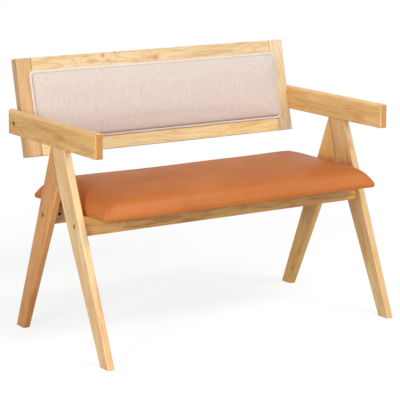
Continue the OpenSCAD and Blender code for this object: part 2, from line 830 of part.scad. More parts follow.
// The pad from outside: a flat sewn flange, a seam line, a rounded edge and a crown
module pad_form() {
    eased = flange_t / 3;
    rings = [
        pad_ring(0, eased, pad_draw),
        pad_ring(flange_t / 2, 0, pad_draw),
        pad_ring(flange_t, eased, pad_draw),
        pad_ring(flange_t, flange_w - eased, pad_draw),
        each pad_dome(0),
    ];
    ringed_form(rings, pad_edge_h + pad_crown);
}

module back_pad_cover() {
    a = pad_a - pad_turn;
    b = pad_b - pad_turn;
    color(fabric_colour) on_pad() difference() {
        pad_form();
        pad_core(fabric_t);
        translate([0, 0, -eps]) linear_extrude(fabric_t + 2 * eps) round_rect([-a, -b], [a, b], rebate_r);
    }
}

module back_pad_foam() {
    base = fabric_t + pad_board_t + tee_flange_t + soft_gap;
    color(foam_colour) on_pad() intersection() {
        pad_core(fabric_t + soft_gap);
        translate([-far, -far, base]) cube([2 * far, 2 * far, far]);
    }
}

module back_pad_board() {
    color(ply_colour) on_pad() translate([0, 0, fabric_t]) difference() {
        linear_extrude(pad_board_t)
            round_rect([-pad_board_a, -pad_board_b], [pad_board_a, pad_board_b], pad_corner_r);
        for (p = panel_bolt_xz) translate([p[0], p[1], 0]) rod_z(far, tee_barrel_d + 2 * hole_gap);
    }
}

module back_pad_tee_nuts() {
    top = fabric_t + pad_board_t;
    color(steel_colour) on_pad() for (p = panel_bolt_xz) translate([p[0], p[1], 0]) difference() {
        union() {
            translate([0, 0, top]) cylinder(h = tee_flange_t, d = tee_flange_d);
            translate([0, 0, fabric_t + end_gap])
                cylinder(h = pad_board_t - end_gap + eps, d = tee_barrel_d);
        }
        rod_z(far, panel_bolt_d + 2 * hole_gap);
    }
}

// The rear panel's board, inset in the rebate by its fabric and a gap
module back_rear_board() {
    color(ply_colour) on_back() difference() {
        translate([0, lip_t + rear_board_t, 0]) rotate([90, 0, 0]) linear_extrude(rear_board_t)
            rear_outline(rear_gap + fabric_t);
        at_panel_bolts() rod_y(far, panel_bolt_d + 2 * hole_gap);
    }
}

// Places of the panel bolts, in the back's own frame
module at_panel_bolts() {
    for (p = panel_bolt_xz) translate([p[0], 0, back_mid + p[1]]) children();
}

// Fabric over the rear panel's back and edges
module back_rear_cover() {
    color(fabric_colour) on_back() difference() {
        translate([0, rear_face + fabric_t, 0]) rotate([90, 0, 0])
            linear_extrude(rear_board_t + fabric_t - soft_gap) rear_outline(rear_gap);
        translate([0, rear_face, 0]) rotate([90, 0, 0]) linear_extrude(far)
            rear_outline(rear_gap + fabric_t);
        at_panel_bolts() rod_y(far, panel_bolt_d + 2 * hole_gap);
    }
}

module back_panel_bolts() {
    head = rear_face + fabric_t;
    tip = -fabric_t - pad_board_t;
    color(steel_colour) on_back() at_panel_bolts() difference() {
        union() {
            translate([0, head + panel_head_h, 0]) rotate([90, 0, 0])
                cylinder(h = panel_head_h, d1 = panel_head_d - head_taper, d2 = panel_head_d);
            translate([0, head + eps, 0]) rotate([90, 0, 0])
                cylinder(h = head + eps - tip, d = panel_bolt_d);
        }
        translate([0, head + panel_head_h + eps, 0]) rotate([90, 0, 0])
            cylinder(h = socket_deep + eps, d = socket_w / cos(30), $fn = 6);
    }
}

module armrest_bolts() {
    color(steel_colour) for (side = [-1, 1]) on_side(side)
        translate([arm_t / 2 - head_sunk, back_bolt_y, back_bolt_z]) frame_bolt(arm_t - head_sunk + insert_l);
}

module armrest_inserts() {
    color(steel_colour) on_back() for (s = [-1, 1])
        translate([s * (arm_in_x - insert_l / 2), back_t / 2, back_drop]) difference() {
            rod_x(insert_l, insert_d);
            rod_x(far, bolt_d + 2 * hole_gap);
        }
}

// The pins that stop the back from turning on its bolts
module armrest_pins() {
    color(pale_colour) on_back() for (s = [-1, 1])
        translate([s * (arm_in_x + pin_out - dowel_l / 2), back_t / 2, back_drop + pin_up])
            rod_x(dowel_l, dowel_d);
}

left_front_leg();
left_rear_leg();
right_front_leg();
right_rear_leg();
leg_joint_dowels();
left_armrest();
right_armrest();
armrest_dowels();
front_seat_rail();
rear_seat_rail();
left_cross_rail();
right_cross_rail();
rail_bolts();
rail_barrel_nuts();
rail_dowels();
cross_rail_dowels();
seat_board();
seat_foam();
seat_cover();
seat_bottom_cloth();
seat_screws();
back_left_stile();
back_right_stile();
back_top_rail();
back_bottom_rail();
back_frame_dowels();
back_pad_board();
back_pad_foam();
back_pad_cover();
back_pad_tee_nuts();
back_rear_board();
back_rear_cover();
back_panel_bolts();
armrest_bolts();
armrest_inserts();
armrest_pins();
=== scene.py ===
import math
import bmesh
import bpy
from mathutils import Matrix, Vector, noise


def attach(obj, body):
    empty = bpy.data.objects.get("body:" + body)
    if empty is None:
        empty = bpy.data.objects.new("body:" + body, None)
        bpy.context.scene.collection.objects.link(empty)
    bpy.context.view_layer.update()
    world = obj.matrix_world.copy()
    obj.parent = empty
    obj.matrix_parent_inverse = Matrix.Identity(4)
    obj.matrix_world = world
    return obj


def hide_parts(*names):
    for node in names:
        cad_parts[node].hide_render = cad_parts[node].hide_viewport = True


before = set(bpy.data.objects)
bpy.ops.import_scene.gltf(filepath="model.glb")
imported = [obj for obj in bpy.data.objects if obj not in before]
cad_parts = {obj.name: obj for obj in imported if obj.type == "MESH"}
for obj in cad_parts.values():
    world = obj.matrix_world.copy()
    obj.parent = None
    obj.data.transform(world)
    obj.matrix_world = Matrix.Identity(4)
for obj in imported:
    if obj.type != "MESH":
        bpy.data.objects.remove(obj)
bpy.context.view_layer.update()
scene = bpy.context.scene
middleY = 0.0211  # metres from the A-frames' middle to the bench's origin, rearwards


def tint(red, green, blue):
    # a screen colour, 0 to 255, as the linear colour that the sockets take
    parts = []
    for part in (red, green, blue):
        part = part / 255
        parts.append(part / 12.92 if part < 0.04045 else ((part + 0.055) / 1.055) ** 2.4)
    return (*parts, 1.0)


class Wiring:
    # adds nodes to a tree and links them, one line for each
    def __init__(self, tree):
        self.tree = tree

    def add(self, kind, links=None, **settings):
        made = self.tree.nodes.new(kind)
        for key, value in settings.items():
            setattr(made, key, value)
        for key, value in (links or {}).items():
            self.put(made, key, value)
        return made

    def out(self, kind, links=None, **settings):
        return self.add(kind, links, **settings).outputs[0]

    def put(self, made, key, value):
        socket = made.inputs[key]
        if isinstance(value, bpy.types.NodeSocket):
            self.tree.links.new(value, socket)
        else:
            socket.default_value = value

    def math(self, operation, first, second=0.0):
        return self.out("ShaderNodeMath", {0: first, 1: second}, operation=operation)

    def plus(self, first, second):
        return self.math("ADD", first, second)

    def minus(self, first, second):
        return self.math("SUBTRACT", first, second)

    def times(self, first, second):
        return self.math("MULTIPLY", first, second)

    def absolute(self, value):
        return self.math("ABSOLUTE", value)

    def vector(self, operation, first, second=(0, 0, 0)):
        made = self.add("ShaderNodeVectorMath", {0: first}, operation=operation)
        if operation == "SCALE":
            self.put(made, 3, second)
        elif operation != "LENGTH":
            self.put(made, 1, second)
        return made.outputs["Value" if operation in ("LENGTH", "DOT_PRODUCT") else "Vector"]

    def apart(self, vector, axis):
        return self.add("ShaderNodeSeparateXYZ", {0: vector}).outputs[axis]

    def noise(self, vector, scale, detail=2.0, rough=0.5, result="Fac"):
        return self.add("ShaderNodeTexNoise", {"Vector": vector, "Scale": scale, "Detail": detail,
                                               "Roughness": rough}).outputs[result]

    def grain(self, vector, stretch, detail=2.0, rough=0.5):
        # noise with its own scale along each axis
        return self.noise(self.vector("MULTIPLY", vector, stretch), 1.0, detail, rough)

    def shake(self, vector, scale, amount, rough=0.5):
        # an offset that wanders to both sides of nothing
        moved = self.noise(vector, scale, 2.0, rough, "Color")
        return self.vector("SCALE", self.vector("SUBTRACT", moved, (0.5, 0.5, 0.5)), amount)

    def span(self, value, fromMin, fromMax, toMin=0.0, toMax=1.0, kind="LINEAR"):
        made = self.add("ShaderNodeMapRange", {"Value": value, "From Min": fromMin, "From Max": fromMax,
                                               "To Min": toMin, "To Max": toMax}, interpolation_type=kind)
        return made.outputs["Result"]

    def soft(self, *limits):
        return self.span(*limits, kind="SMOOTHSTEP")

    def mix(self, amount, first, second):
        made = self.add("ShaderNodeMix", data_type="RGBA", blend_type="MIX", clamp_factor=True)
        for key, value in ((0, amount), (6, first), (7, second)):
            self.put(made, key, value)
        return made.outputs[2]

    def ramp(self, value, stops):
        # stops: (place, grey)
        made = self.add("ShaderNodeValToRGB", {"Fac": value})
        line = made.color_ramp
        while len(line.elements) < len(stops):
            line.elements.new(0.5)
        for element, (place, grey) in zip(line.elements, stops):
            element.position = place
            element.color = (grey, grey, grey, 1)
        return made.outputs["Color"]

    def turned(self, vector, rotation, at=(0, 0, 0)):
        # the place in a frame of its own
        return self.out("ShaderNodeMapping", {"Vector": vector, "Location": at, "Rotation": rotation},
                        vector_type="TEXTURE")

    def finish(self, colour, roughness, height=None, strength=0.3, deep=0.0003):
        self.put(self.shader, "Base Color", colour)
        self.put(self.shader, "Roughness", roughness)
        if height:
            bump = self.add("ShaderNodeBump", {"Strength": strength, "Distance": deep, "Height": height})
            self.put(self.shader, "Normal", bump.outputs[0])
        return self.material


def startMaterial(name):
    # gives its wiring, and the place on the object in metres
    material = bpy.data.materials.new(name)
    material.use_nodes = True
    wire = Wiring(material.node_tree)
    wire.material, wire.shader = material, material.node_tree.nodes["Principled BSDF"]
    return wire, wire.add("ShaderNodeTexCoord").outputs["Object"]


def newObject(name, data):
    made = bpy.data.objects.new(name, data)
    scene.collection.objects.link(made)
    return made


def dress(node, material):
    # gives a CAD node's object one material
    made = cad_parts[node]
    made.data.materials.clear()
    made.data.materials.append(material)


# the camera, fitted to the photograph
shot = {
    "azimuth": 32.919,
    "elevation": 11.857,
    "roll": 0.088,
    "distance": 4.60796,
    "target": (-0.249525, -0.3502 - middleY, 0.463339),
    "focal": 1697.363,  # in pixels
    "picture": 400,  # pixels across
    "sensor": 36,
}


def placeCamera():
    a, e, r = (math.radians(shot[key]) for key in ("azimuth", "elevation", "roll"))
    look = Vector((math.sin(a) * math.cos(e), math.cos(a) * math.cos(e), -math.sin(e)))
    level = Vector((math.cos(a), -math.sin(a), 0))
    upward = level.cross(look)
    right = level * math.cos(r) + upward * math.sin(r)
    up = upward * math.cos(r) - level * math.sin(r)
    camera = newObject("camera", bpy.data.cameras.new("camera"))
    camera.data.sensor_width = shot["sensor"]
    camera.data.lens = shot["focal"] / shot["picture"] * shot["sensor"]
    camera.data.clip_start, camera.data.clip_end = 0.1, 100
    turn = Matrix((right, up, -look)).transposed().to_4x4()
    camera.matrix_world = Matrix.Translation(Vector(shot["target"]) - look * shot["distance"]) @ turn
    scene.camera = camera


placeCamera()
print("camera placed")


# wood: tones on screen, before each board's own shade
woodTones = {
    "pale": (243, 208, 152),
    "mid": (229, 184, 122),
    "dark": (190, 132, 74),
    "stain": (196, 124, 62),
    "knot": (104, 58, 28),
    "endGrain": (198, 134, 72),
}

backUp, backFace = (0, 0.2284, 0.9736), (0, -0.9736, 0.2284)  # up the sloping back, and out of its front
across, rearwards = (1, 0, 0), (0, 1, 0)
legForth, legBack = (0, 238.5, 577), (0, -238.5, 577)  # along the front legs and the rear legs
glueLine = 0.426  # where the back's rails meet its stiles, from the middle

# grain: the direction it runs; face: the way the bark side faces; at: a point in the board;
# heart, side: where the tree's middle lay from there; tone: this board's own shade;
# marks: kind, place, size, length over width, strength
woodPieces = {
    "left_front_leg": dict(
        grain=legForth, face=(-1, 0, 0), at=(-0.488, -0.16, 0.28), heart=0.055, side=0.010, seed=1.3,
        tone=(1.01, 1.02, 1.04), seam=True, marks=(
            ("stain", (-0.480, -0.245, 0.075), 0.007, 3.0, 0.55),
            ("stain", (-0.499, -0.200, 0.160), 0.006, 4.0, 0.30))),
    "left_rear_leg": dict(
        grain=legBack, face=(-1, 0, 0), at=(-0.488, 0.14, 0.28), heart=0.060, side=-0.014, seed=4.1,
        tone=(0.88, 0.65, 0.38), seam=True, marks=(
            ("stain", (-0.499, 0.162, 0.097), 0.008, 3.5, 0.5),
            ("stain", (-0.499, 0.070, 0.300), 0.007, 4.0, 0.4))),
    "right_front_leg": dict(
        grain=legForth, face=(1, 0, 0), at=(0.488, -0.16, 0.28), heart=0.048, side=0.006, seed=7.7,
        tone=(0.93, 0.93, 0.86), seam=True, marks=(
            ("stain", (0.477, -0.091, 0.506), 0.0065, 2.5, 0.95),
            ("stain", (0.477, -0.083, 0.466), 0.0045, 9.0, 0.9),
            ("stain", (0.477, -0.015, 0.505), 0.010, 3.0, 0.5),
            # painted light: a broad pale patch above the seat; painted shade: a broad dark patch below it,
            # where the seat shades the leg
            ("pale", (0.477, -0.045, 0.520), 0.036, 1.5, 0.55),
            ("dark", (0.477, -0.125, 0.300), 0.040, 3.0, 0.30))),
    "right_rear_leg": dict(
        grain=legBack, face=(1, 0, 0), at=(0.488, 0.14, 0.28), heart=0.052, side=0.012, seed=9.2,
        tone=(1.01, 0.93, 0.62), seam=True, marks=(
            ("knot", (0.477, 0.214, 0.024), 0.0035, 1.5, 0.6),
            ("stain", (0.477, 0.196, 0.052), 0.007, 2.0, 0.7),
            ("knot", (0.477, 0.175, 0.092), 0.0025, 1.4, 0.5),
            ("stain", (0.477, 0.160, 0.120), 0.006, 3.0, 0.6),
            ("stain", (0.477, 0.012, 0.490), 0.009, 3.0, 0.5),
            # painted light: a broad pale patch above the seat; painted shade: a broad dark patch below it,
            # where the seat shades the leg
            ("pale", (0.477, 0.030, 0.500), 0.040, 1.6, 0.75),
            ("dark", (0.477, 0.105, 0.310), 0.036, 2.5, 0.35))),
    "left_armrest": dict(
        grain=rearwards, face=(-1, 0, 0), at=(-0.488, 0.02, 0.612), heart=0.064, side=-0.022, seed=2.6,
        tone=(0.94, 0.84, 0.57), marks=(
            ("stain", (-0.500, -0.042, 0.609), 0.009, 4.0, 0.65),
            ("stain", (-0.500, 0.047, 0.620), 0.008, 5.0, 0.5),
            ("stain", (-0.500, -0.111, 0.604), 0.007, 4.0, 0.5))),
    "right_armrest": dict(
        grain=rearwards, face=(-1, 0, 0), at=(0.488, 0.02, 0.612), heart=0.070, side=0.020, seed=5.9,
        tone=(1.01, 1.01, 0.87), marks=(
            ("stain", (0.476, -0.130, 0.598), 0.009, 3.0, 0.5),)),
    "front_seat_rail": dict(
        grain=across, face=(0, -1, 0), at=(0, -0.114, 0.37), heart=0.030, side=0.004, seed=3.3,
        tone=(1.00, 0.82, 0.46), wander=0.085, figure=2.0, pitch=0.0078, marks=(
            ("knot", (-0.363, -0.1317, 0.368), 0.004, 2.0, 0.45),
            ("stain", (0.060, -0.1317, 0.366), 0.009, 3.0, 0.6))),
    "rear_seat_rail": dict(
        grain=across, face=(0, -1, 0), at=(0, 0.072, 0.37), heart=0.050, side=-0.008, seed=6.4,
        tone=(0.82, 0.68, 0.45)),
    "left_cross_rail": dict(
        grain=rearwards, face=(0, 0, -1), at=(-0.29, -0.02, 0.387), heart=0.050, side=0.006, seed=8.8,
        tone=(0.97, 0.93, 0.86)),
    "right_cross_rail": dict(
        grain=rearwards, face=(0, 0, -1), at=(0.29, -0.02, 0.387), heart=0.050, side=-0.010, seed=1.9,
        tone=(0.95, 0.92, 0.86)),
    "back_left_stile": dict(
        grain=backUp, face=backFace, at=(-0.451, 0.24, 0.65), heart=0.050, side=0.012, seed=2.2,
        tone=(0.78, 0.73, 0.70), joint=glueLine),
    "back_right_stile": dict(
        grain=backUp, face=backFace, at=(0.451, 0.24, 0.65), heart=0.048, side=-0.010, seed=5.3,
        tone=(0.96, 1.13, 1.50), joint=glueLine),
    "back_top_rail": dict(
        grain=across, face=backFace, at=(0, 0.27, 0.77), heart=0.044, side=0.006, seed=8.1,
        tone=(0.89, 0.99, 1.12), joint=glueLine, marks=(
            ("stain", (-0.184, 0.2690, 0.787), 0.0055, 1.2, 0.90),
            ("stain", (-0.224, 0.2655, 0.773), 0.0065, 2.6, 0.60),
            ("stain", (-0.168, 0.2655, 0.773), 0.006, 1.4, 0.55),
            ("knot", (-0.142, 0.2712, 0.7945), 0.0035, 1.4, 0.7),
            ("stain", (0.000, 0.2652, 0.770), 0.007, 1.3, 0.75))),
    "back_bottom_rail": dict(
        grain=across, face=backFace, at=(0, 0.22, 0.54), heart=0.046, side=-0.006, seed=4.7,
        tone=(1.03, 1.17, 1.25), joint=glueLine),
}


def boardTurn(grain, face):
    # the board's own axes: X along the grain, Z out of its bark side
    x = Vector(grain).normalized()
    z = Vector(face)
    z = (z - x * z.dot(x)).normalized()
    return Matrix((x, z.cross(x), z)).transposed()


def makeWood(name, grain, face, at, heart, side, seed, tone, marks=(), wander=0.060, joint=None, seam=False,
             figure=1.0, pitch=0.0046):
    wire, place = startMaterial("wood_" + name)
    shade = {}
    for key, values in woodTones.items():
        shade[key] = tuple(min(1.0, part * more) for part, more in zip(tint(*values), tone)) + (1.0,)
    turn = boardTurn(grain, face)
    local = wire.turned(place, turn.to_euler(), at)
    moved = wire.vector("ADD", local, (seed * 3.1, seed * 1.7, seed * 2.3))
    # the heart of the tree wanders along the board, which makes the cathedral arches
    drift = wire.shake(wire.vector("MULTIPLY", moved, (2.2, 7.0, 7.0)), 1.0, wander, 0.45)
    fromHeart = wire.vector("ADD", wire.vector("ADD", local, (0, side, heart)), drift)
    radius = wire.vector("LENGTH", wire.vector("MULTIPLY", fromHeart, (0, 1, 1)))
    fine = wire.grain(moved, (9.0, 60.0, 60.0), 3.0, 0.55)
    radius = wire.plus(radius, wire.times(fine, 0.0026))
    spots = []
    for kind, where, size, long, dark in marks:
        centre = turn.transposed() @ (Vector(where) - Vector(at))
        jitter = wire.shake(wire.vector("MULTIPLY", moved, (40, 150, 150)), 1.0, size * 0.9)
        away = wire.vector("SUBTRACT", wire.vector("ADD", local, jitter), tuple(centre))
        away = wire.vector("LENGTH", wire.vector("MULTIPLY", away, (1 / long, 1, 0.5)))
        if kind in ("stain", "knot"):  # the rings bend round these, but not round a broad patch of painted light or painted shade
            radius = wire.plus(radius, wire.span(away, 0, size * 4.5, size * 1.2, 0, "SMOOTHERSTEP"))
        inner, outer = (0.3, 1.0) if kind == "knot" else (0.0, 1.9)
        spots.append((kind, wire.soft(away, size * inner, size * outer, dark, 0)))
    rings = wire.math("FRACT", wire.math("DIVIDE", radius, pitch))
    latewood = wire.ramp(rings, ((0.0, 0.25), (0.10, 0.0), (0.55, 0.18), (0.90, 0.85), (1.0, 0.25)))
    # the rings come in bands that differ in strength, and fade along the board
    band = wire.out("ShaderNodeCombineXYZ", {"X": wire.math("DIVIDE", radius, pitch * 2.4), "Y": seed,
                                             "Z": wire.times(fine, 0.6)})
    strong = wire.span(wire.noise(band, 1.0), 0.35, 0.68, 0.06, min(1.0, 0.75 * figure))
    latewood = wire.times(latewood, strong)
    blotch = wire.grain(moved, (5.0, 18.0, 18.0))
    cloud = wire.grain(moved, (9.0, 55.0, 55.0), 3.0, 0.6)
    streak = wire.grain(moved, (14.0, 620.0, 620.0), 3.0, 0.6)
    bent = wire.vector("ADD", moved, wire.vector("SCALE", drift, 0.6))
    lines = wire.grain(bent, (7.0, 190.0, 190.0), 2.0, 0.6)
    pores = wire.span(wire.grain(moved, (120.0, 1900.0, 1900.0), 1.0), 0.60, 0.70)
    colour = wire.mix(wire.span(blotch, 0.34, 0.64), shade["pale"], shade["mid"])
    colour = wire.mix(wire.soft(cloud, 0.50, 0.74, 0.0, min(1.0, 0.55 * figure)), colour, shade["stain"])
    colour = wire.mix(wire.soft(lines, 0.50, 0.72, 0.0, min(1.0, 0.50 * figure)), colour, shade["dark"])
    colour = wire.mix(wire.soft(lines, 0.46, 0.30, 0.0, 0.40), colour, shade["pale"])
    colour = wire.mix(latewood, colour, shade["dark"])
    colour = wire.mix(wire.span(streak, 0.35, 0.75, 0.0, 0.34), colour, shade["mid"])
    colour = wire.mix(wire.times(pores, 0.30), colour, shade["dark"])
    # end grain drinks more lacquer and looks darker
    facing = wire.vector("DOT_PRODUCT", place.node.outputs["Normal"], tuple(Vector(grain).normalized()))
    cut = wire.soft(wire.absolute(facing), 0.80, 0.97, 0, 0.85)
    colour = wire.mix(cut, colour, shade["endGrain"])
    for kind, spot in spots:
        colour = wire.mix(spot, colour, shade[kind])
    if joint:
        # the glue line where a rail meets a stile
        off = wire.absolute(wire.minus(wire.absolute(wire.apart(place, 0)), joint))
        colour = wire.mix(wire.span(off, 0.0004, 0.0010, 0.85, 0.0), colour, shade["knot"])
    if seam:
        # the glue line of the two legs, from the crotch up to the armrest, widened and darkened with painted
        # shade, as of a groove along the joint
        crotch, top = Vector((0, -middleY, 0.464)), Vector((0, 0.0315 - middleY, 0.577))
        normal = (top - crotch).cross(Vector((1, 0, 0))).normalized()
        off = wire.absolute(wire.minus(wire.vector("DOT_PRODUCT", place, tuple(normal)), crotch.dot(normal)))
        above = wire.span(wire.apart(place, 2), 0.460, 0.468)
        colour = wire.mix(wire.times(wire.span(off, 0.0006, 0.0022, 0.88, 0.0), above), colour, shade["knot"])
    wire.put(wire.shader, "Coat Weight", 0.6)
    wire.put(wire.shader, "Coat Roughness", 0.2)
    height = wire.minus(wire.times(streak, 0.35), wire.times(pores, 0.6))
    return wire.finish(colour, wire.span(wire.noise(moved, 22.0), 0.3, 0.7, 0.36, 0.48),
                       wire.plus(height, wire.times(latewood, 0.25)), 0.25, 0.0004)


for node, choice in woodPieces.items():
    dress(node, makeWood(node, **choice))
print("wood on", len(woodPieces), "boards")


# soft forms: rings of points, blown up a little as cloth over their filling
cornerSteps = 12


def ringPoints(halfX, halfY, radius, draw, longSteps=64, shortSteps=28):
    # an outline with round corners, whose sides pull in between them
    def corner(quarter, step):
        angle = math.pi / 2 * (quarter + step / cornerSteps)
        signX = 1 if quarter in (0, 3) else -1
        signY = 1 if quarter < 2 else -1
        return Vector((signX * (halfX - radius) + radius * math.cos(angle),
                       signY * (halfY - radius) + radius * math.sin(angle), 0))
    points = []
    for quarter in range(4):
        points += [corner(quarter, step) for step in range(cornerSteps + 1)]
        ahead = corner((quarter + 1) % 4, 0)
        out = Vector((math.cos(math.pi / 2 * (quarter + 1)), math.sin(math.pi / 2 * (quarter + 1)), 0))
        last = points[-1]
        steps = longSteps if quarter % 2 == 0 else shortSteps
        for step in range(1, steps):
            share = step / steps
            points.append(last.lerp(ahead, share) - out * draw * math.sin(math.pi * share))
    return points


def newPiece(name, built):
    mesh = bpy.data.meshes.new(name)
    built.to_mesh(mesh)
    built.free()
    return newObject(name, mesh)


def bridge(rings, around=False):
    # faces between each ring of points and the next; around: the last is joined to the first too
    built = bmesh.new()
    loops = [[built.verts.new(p) for p in ring] for ring in rings]
    for low, high in zip(loops, loops[1:] + (loops[:1] if around else [])):
        for i in range(len(low)):
            j = (i + 1) % len(low)
            built.faces.new((low[i], low[j], high[j], high[i]))
    if around:
        bmesh.ops.recalc_face_normals(built, faces=built.faces)
    return built, loops


def loftRings(name, rings):
    # rings: (height, half size across, half size the other way, corner radius, draw)
    built, loops = bridge([[p + Vector((0, 0, height)) for p in ringPoints(*outline)]
                           for height, *outline in rings])
    built.faces.new(list(reversed(loops[0])))
    built.faces.new(loops[-1])
    bmesh.ops.recalc_face_normals(built, faces=built.faces)
    return newPiece(name, built)


def settle(piece):
    # turns the modifiers into plain mesh
    seen = piece.evaluated_get(bpy.context.evaluated_depsgraph_get())
    old = piece.data
    piece.data = bpy.data.meshes.new_from_object(seen)
    piece.modifiers.clear()
    bpy.data.meshes.remove(old)
    piece.data.name = piece.name


def smoothShade(piece):
    piece.data.polygons.foreach_set("use_smooth", [True] * len(piece.data.polygons))


coverCloth = {
    "quality": 3, "mass": 0.3, "tension_stiffness": 5, "compression_stiffness": 5, "shear_stiffness": 2.5,
    "bending_stiffness": 0.1, "use_pressure": True, "vertex_group_mass": "held",
}
swellFrames = 20


def blowUp(piece, plan):
    # the cover swells over its filling; what is stapled or sewn down stays where it is
    start = [v.co.copy() for v in piece.data.vertices]
    free = plan["freeAbove"]
    held = piece.vertex_groups.new(name="held")
    for v in piece.data.vertices:
        share = (free - v.co.z) / (free - plan["heldBelow"])
        if share > 0:
            held.add([v.index], min(share, 1.0), "REPLACE")
    cloth = piece.modifiers.new("cloth", "CLOTH")
    for key, value in coverCloth.items():
        setattr(cloth.settings, key, value)
    cloth.settings.uniform_pressure_force = plan["pressure"]
    cloth.settings.effector_weights.gravity = 0
    cloth.collision_settings.use_collision = False
    for step in range(1, swellFrames + 1):
        scene.frame_set(step)
    settle(piece)
    scene.frame_set(1)
    cap = plan["cap"]
    for v, first in zip(piece.data.vertices, start):
        moved = v.co - first
        firm = min(1, max(0, (first.z - free) / free))  # the board's edge holds the lower part out
        moved.x *= firm
        moved.y *= firm
        far = moved.length
        if far > 1e-7:
            v.co = first + moved * (cap * (1 - math.exp(-far / cap)) / far)


def makeSwelled(name, rings, plan):
    # a padded cover: formed a little small, then swelled
    piece = loftRings(name, rings)
    remesh = piece.modifiers.new("remesh", "REMESH")
    remesh.mode = "VOXEL"
    remesh.voxel_size = plan["voxel"]
    settle(piece)
    blowUp(piece, plan)
    # brought back to its measured sizes
    for key, axis in plan["sized"].items():
        swelled = max(v.co[axis] for v in piece.data.vertices)
        print(name, key, "swelled to", round(swelled, 4))
        for v in piece.data.vertices:
            v.co[axis] *= plan[key] / swelled
    finer = piece.modifiers.new("finer", "SUBSURF")
    finer.levels = finer.render_levels = 1
    settle(piece)
    return piece


def addForm(piece, built):
    # joins a second closed form to a piece
    extra = bpy.data.meshes.new("extra")
    built.to_mesh(extra)
    built.free()
    whole = bmesh.new()
    whole.from_mesh(piece.data)
    whole.from_mesh(extra)
    whole.to_mesh(piece.data)
    whole.free()
    bpy.data.meshes.remove(extra)


def eased(share):
    return share * share * (3 - 2 * share)


# where the rings of a rounded edge lie, as shares of its width
edgeShares = (0, 0.02, 0.06, 0.12, 0.2, 0.3, 0.42, 0.55, 0.7, 0.85, 1.0)


def domeRings(plan, a, b, base, crownShares):
    # rings over a rounded edge and on to the crown; the form starts a little small, before it swells
    wide, last, power = plan["edgeWide"], plan["lastHalf"], plan["roundness"]
    insets = [share * wide for share in edgeShares]
    insets += [wide + (b - last - wide) * share for share in crownShares]
    rings = []
    for inset in insets:
        high = plan["edgeRise"] * (1 - (1 - min(inset / wide, 1)) ** power) ** (1 / power)
        high += plan["crown"] * (1 - (1 - min(inset / b, 1)) ** 2)
        slack = plan["slack"] * eased(min(high / plan["slackFrom"], 1))
        radius = min(plan["domeRadius"] + plan["cornerPull"] * inset, b - inset - slack - plan["sideLeast"])
        rings.append((base + high - slack, a - inset - slack, b - inset - slack, radius,
                      plan["draw"] * max(0, 1 - inset / wide)))
    return rings


# the seat: hide pulled over the foam and stapled under the board
# sized: the measures that it is brought back to once it has swelled, and their axes
seat = {
    "halfLong": 0.467, "halfWide": 0.209, "centreY": -0.006 - middleY,
    "underside": 0.398, "girth": 0.008, "tuck": 0.002,
    "cornerRadius": 0.012, "domeRadius": 0.012, "cornerPull": 0.78, "draw": 0.0022, "sideLeast": 0.008,
    "edgeWide": 0.060, "edgeRise": 0.0515, "crown": 0.011, "top": 0.073, "roundness": 2.3, "lastHalf": 0.018,
    "slack": 0.002, "slackFrom": 0.03, "sized": {"halfLong": 0, "halfWide": 1, "top": 2},
    "voxel": 0.006, "pressure": 4.0, "cap": 0.003, "heldBelow": 0.003, "freeAbove": 0.015,
    "turn": 0.037, "turnFrom": 0.012, "turnThick": 0.0011,
    "sharp": 5.0, "softened": 2.8, "softFrom": 0.30, "softOver": 0.12,
    # how far each low corner tip is drawn out: (right side?, rear?)
    "tip": {(True, False): 0.0045, (True, True): 0.004, (False, True): 0.0055, (False, False): -0.0015},
    "tipWide": 0.012, "foldReach": 0.075, "foldClear": 0.008,
    "facetFrom": 0.010, "facetHigh": 0.046, "facetOpen": 15.0, "facetLeast": 2.0, "facetDeep": 0.0034,
    "ridge": 0.0011, "ridgeWide": 0.0022, "ridgeOpens": 0.003,
    "waves": ((5.5, 8.0, 3.7, 0.0011), (16, 22, 9.1, 0.0003)), "wavesFrom": 0.02,
    "staplePull": 0.0004, "stapleCount": 58, "pullHigh": 0.012,
}


def seatRings(plan):
    a, b = plan["halfLong"], plan["halfWide"]
    corner = plan["cornerRadius"], plan["draw"]
    under = plan["tuck"]
    # the underside steps up by the hide's thickness, where the turned strip lies
    steps = ((plan["turnThick"], 0.050), (plan["turnThick"], plan["turnFrom"] + 0.001),
             (0.0, plan["turnFrom"]), (0.0, 0.0006))
    rings = [(high, a - under - inset, b - under - inset, *corner) for high, inset in steps]
    for share in (0.12, 0.35, 0.7):
        inset = under * (1 - share) ** 1.6
        rings.append((plan["girth"] * share, a - inset, b - inset, *corner))
    return rings + domeRings(plan, a, b, plan["girth"], (0.15, 0.32, 0.5, 0.7, 0.86, 1.0))


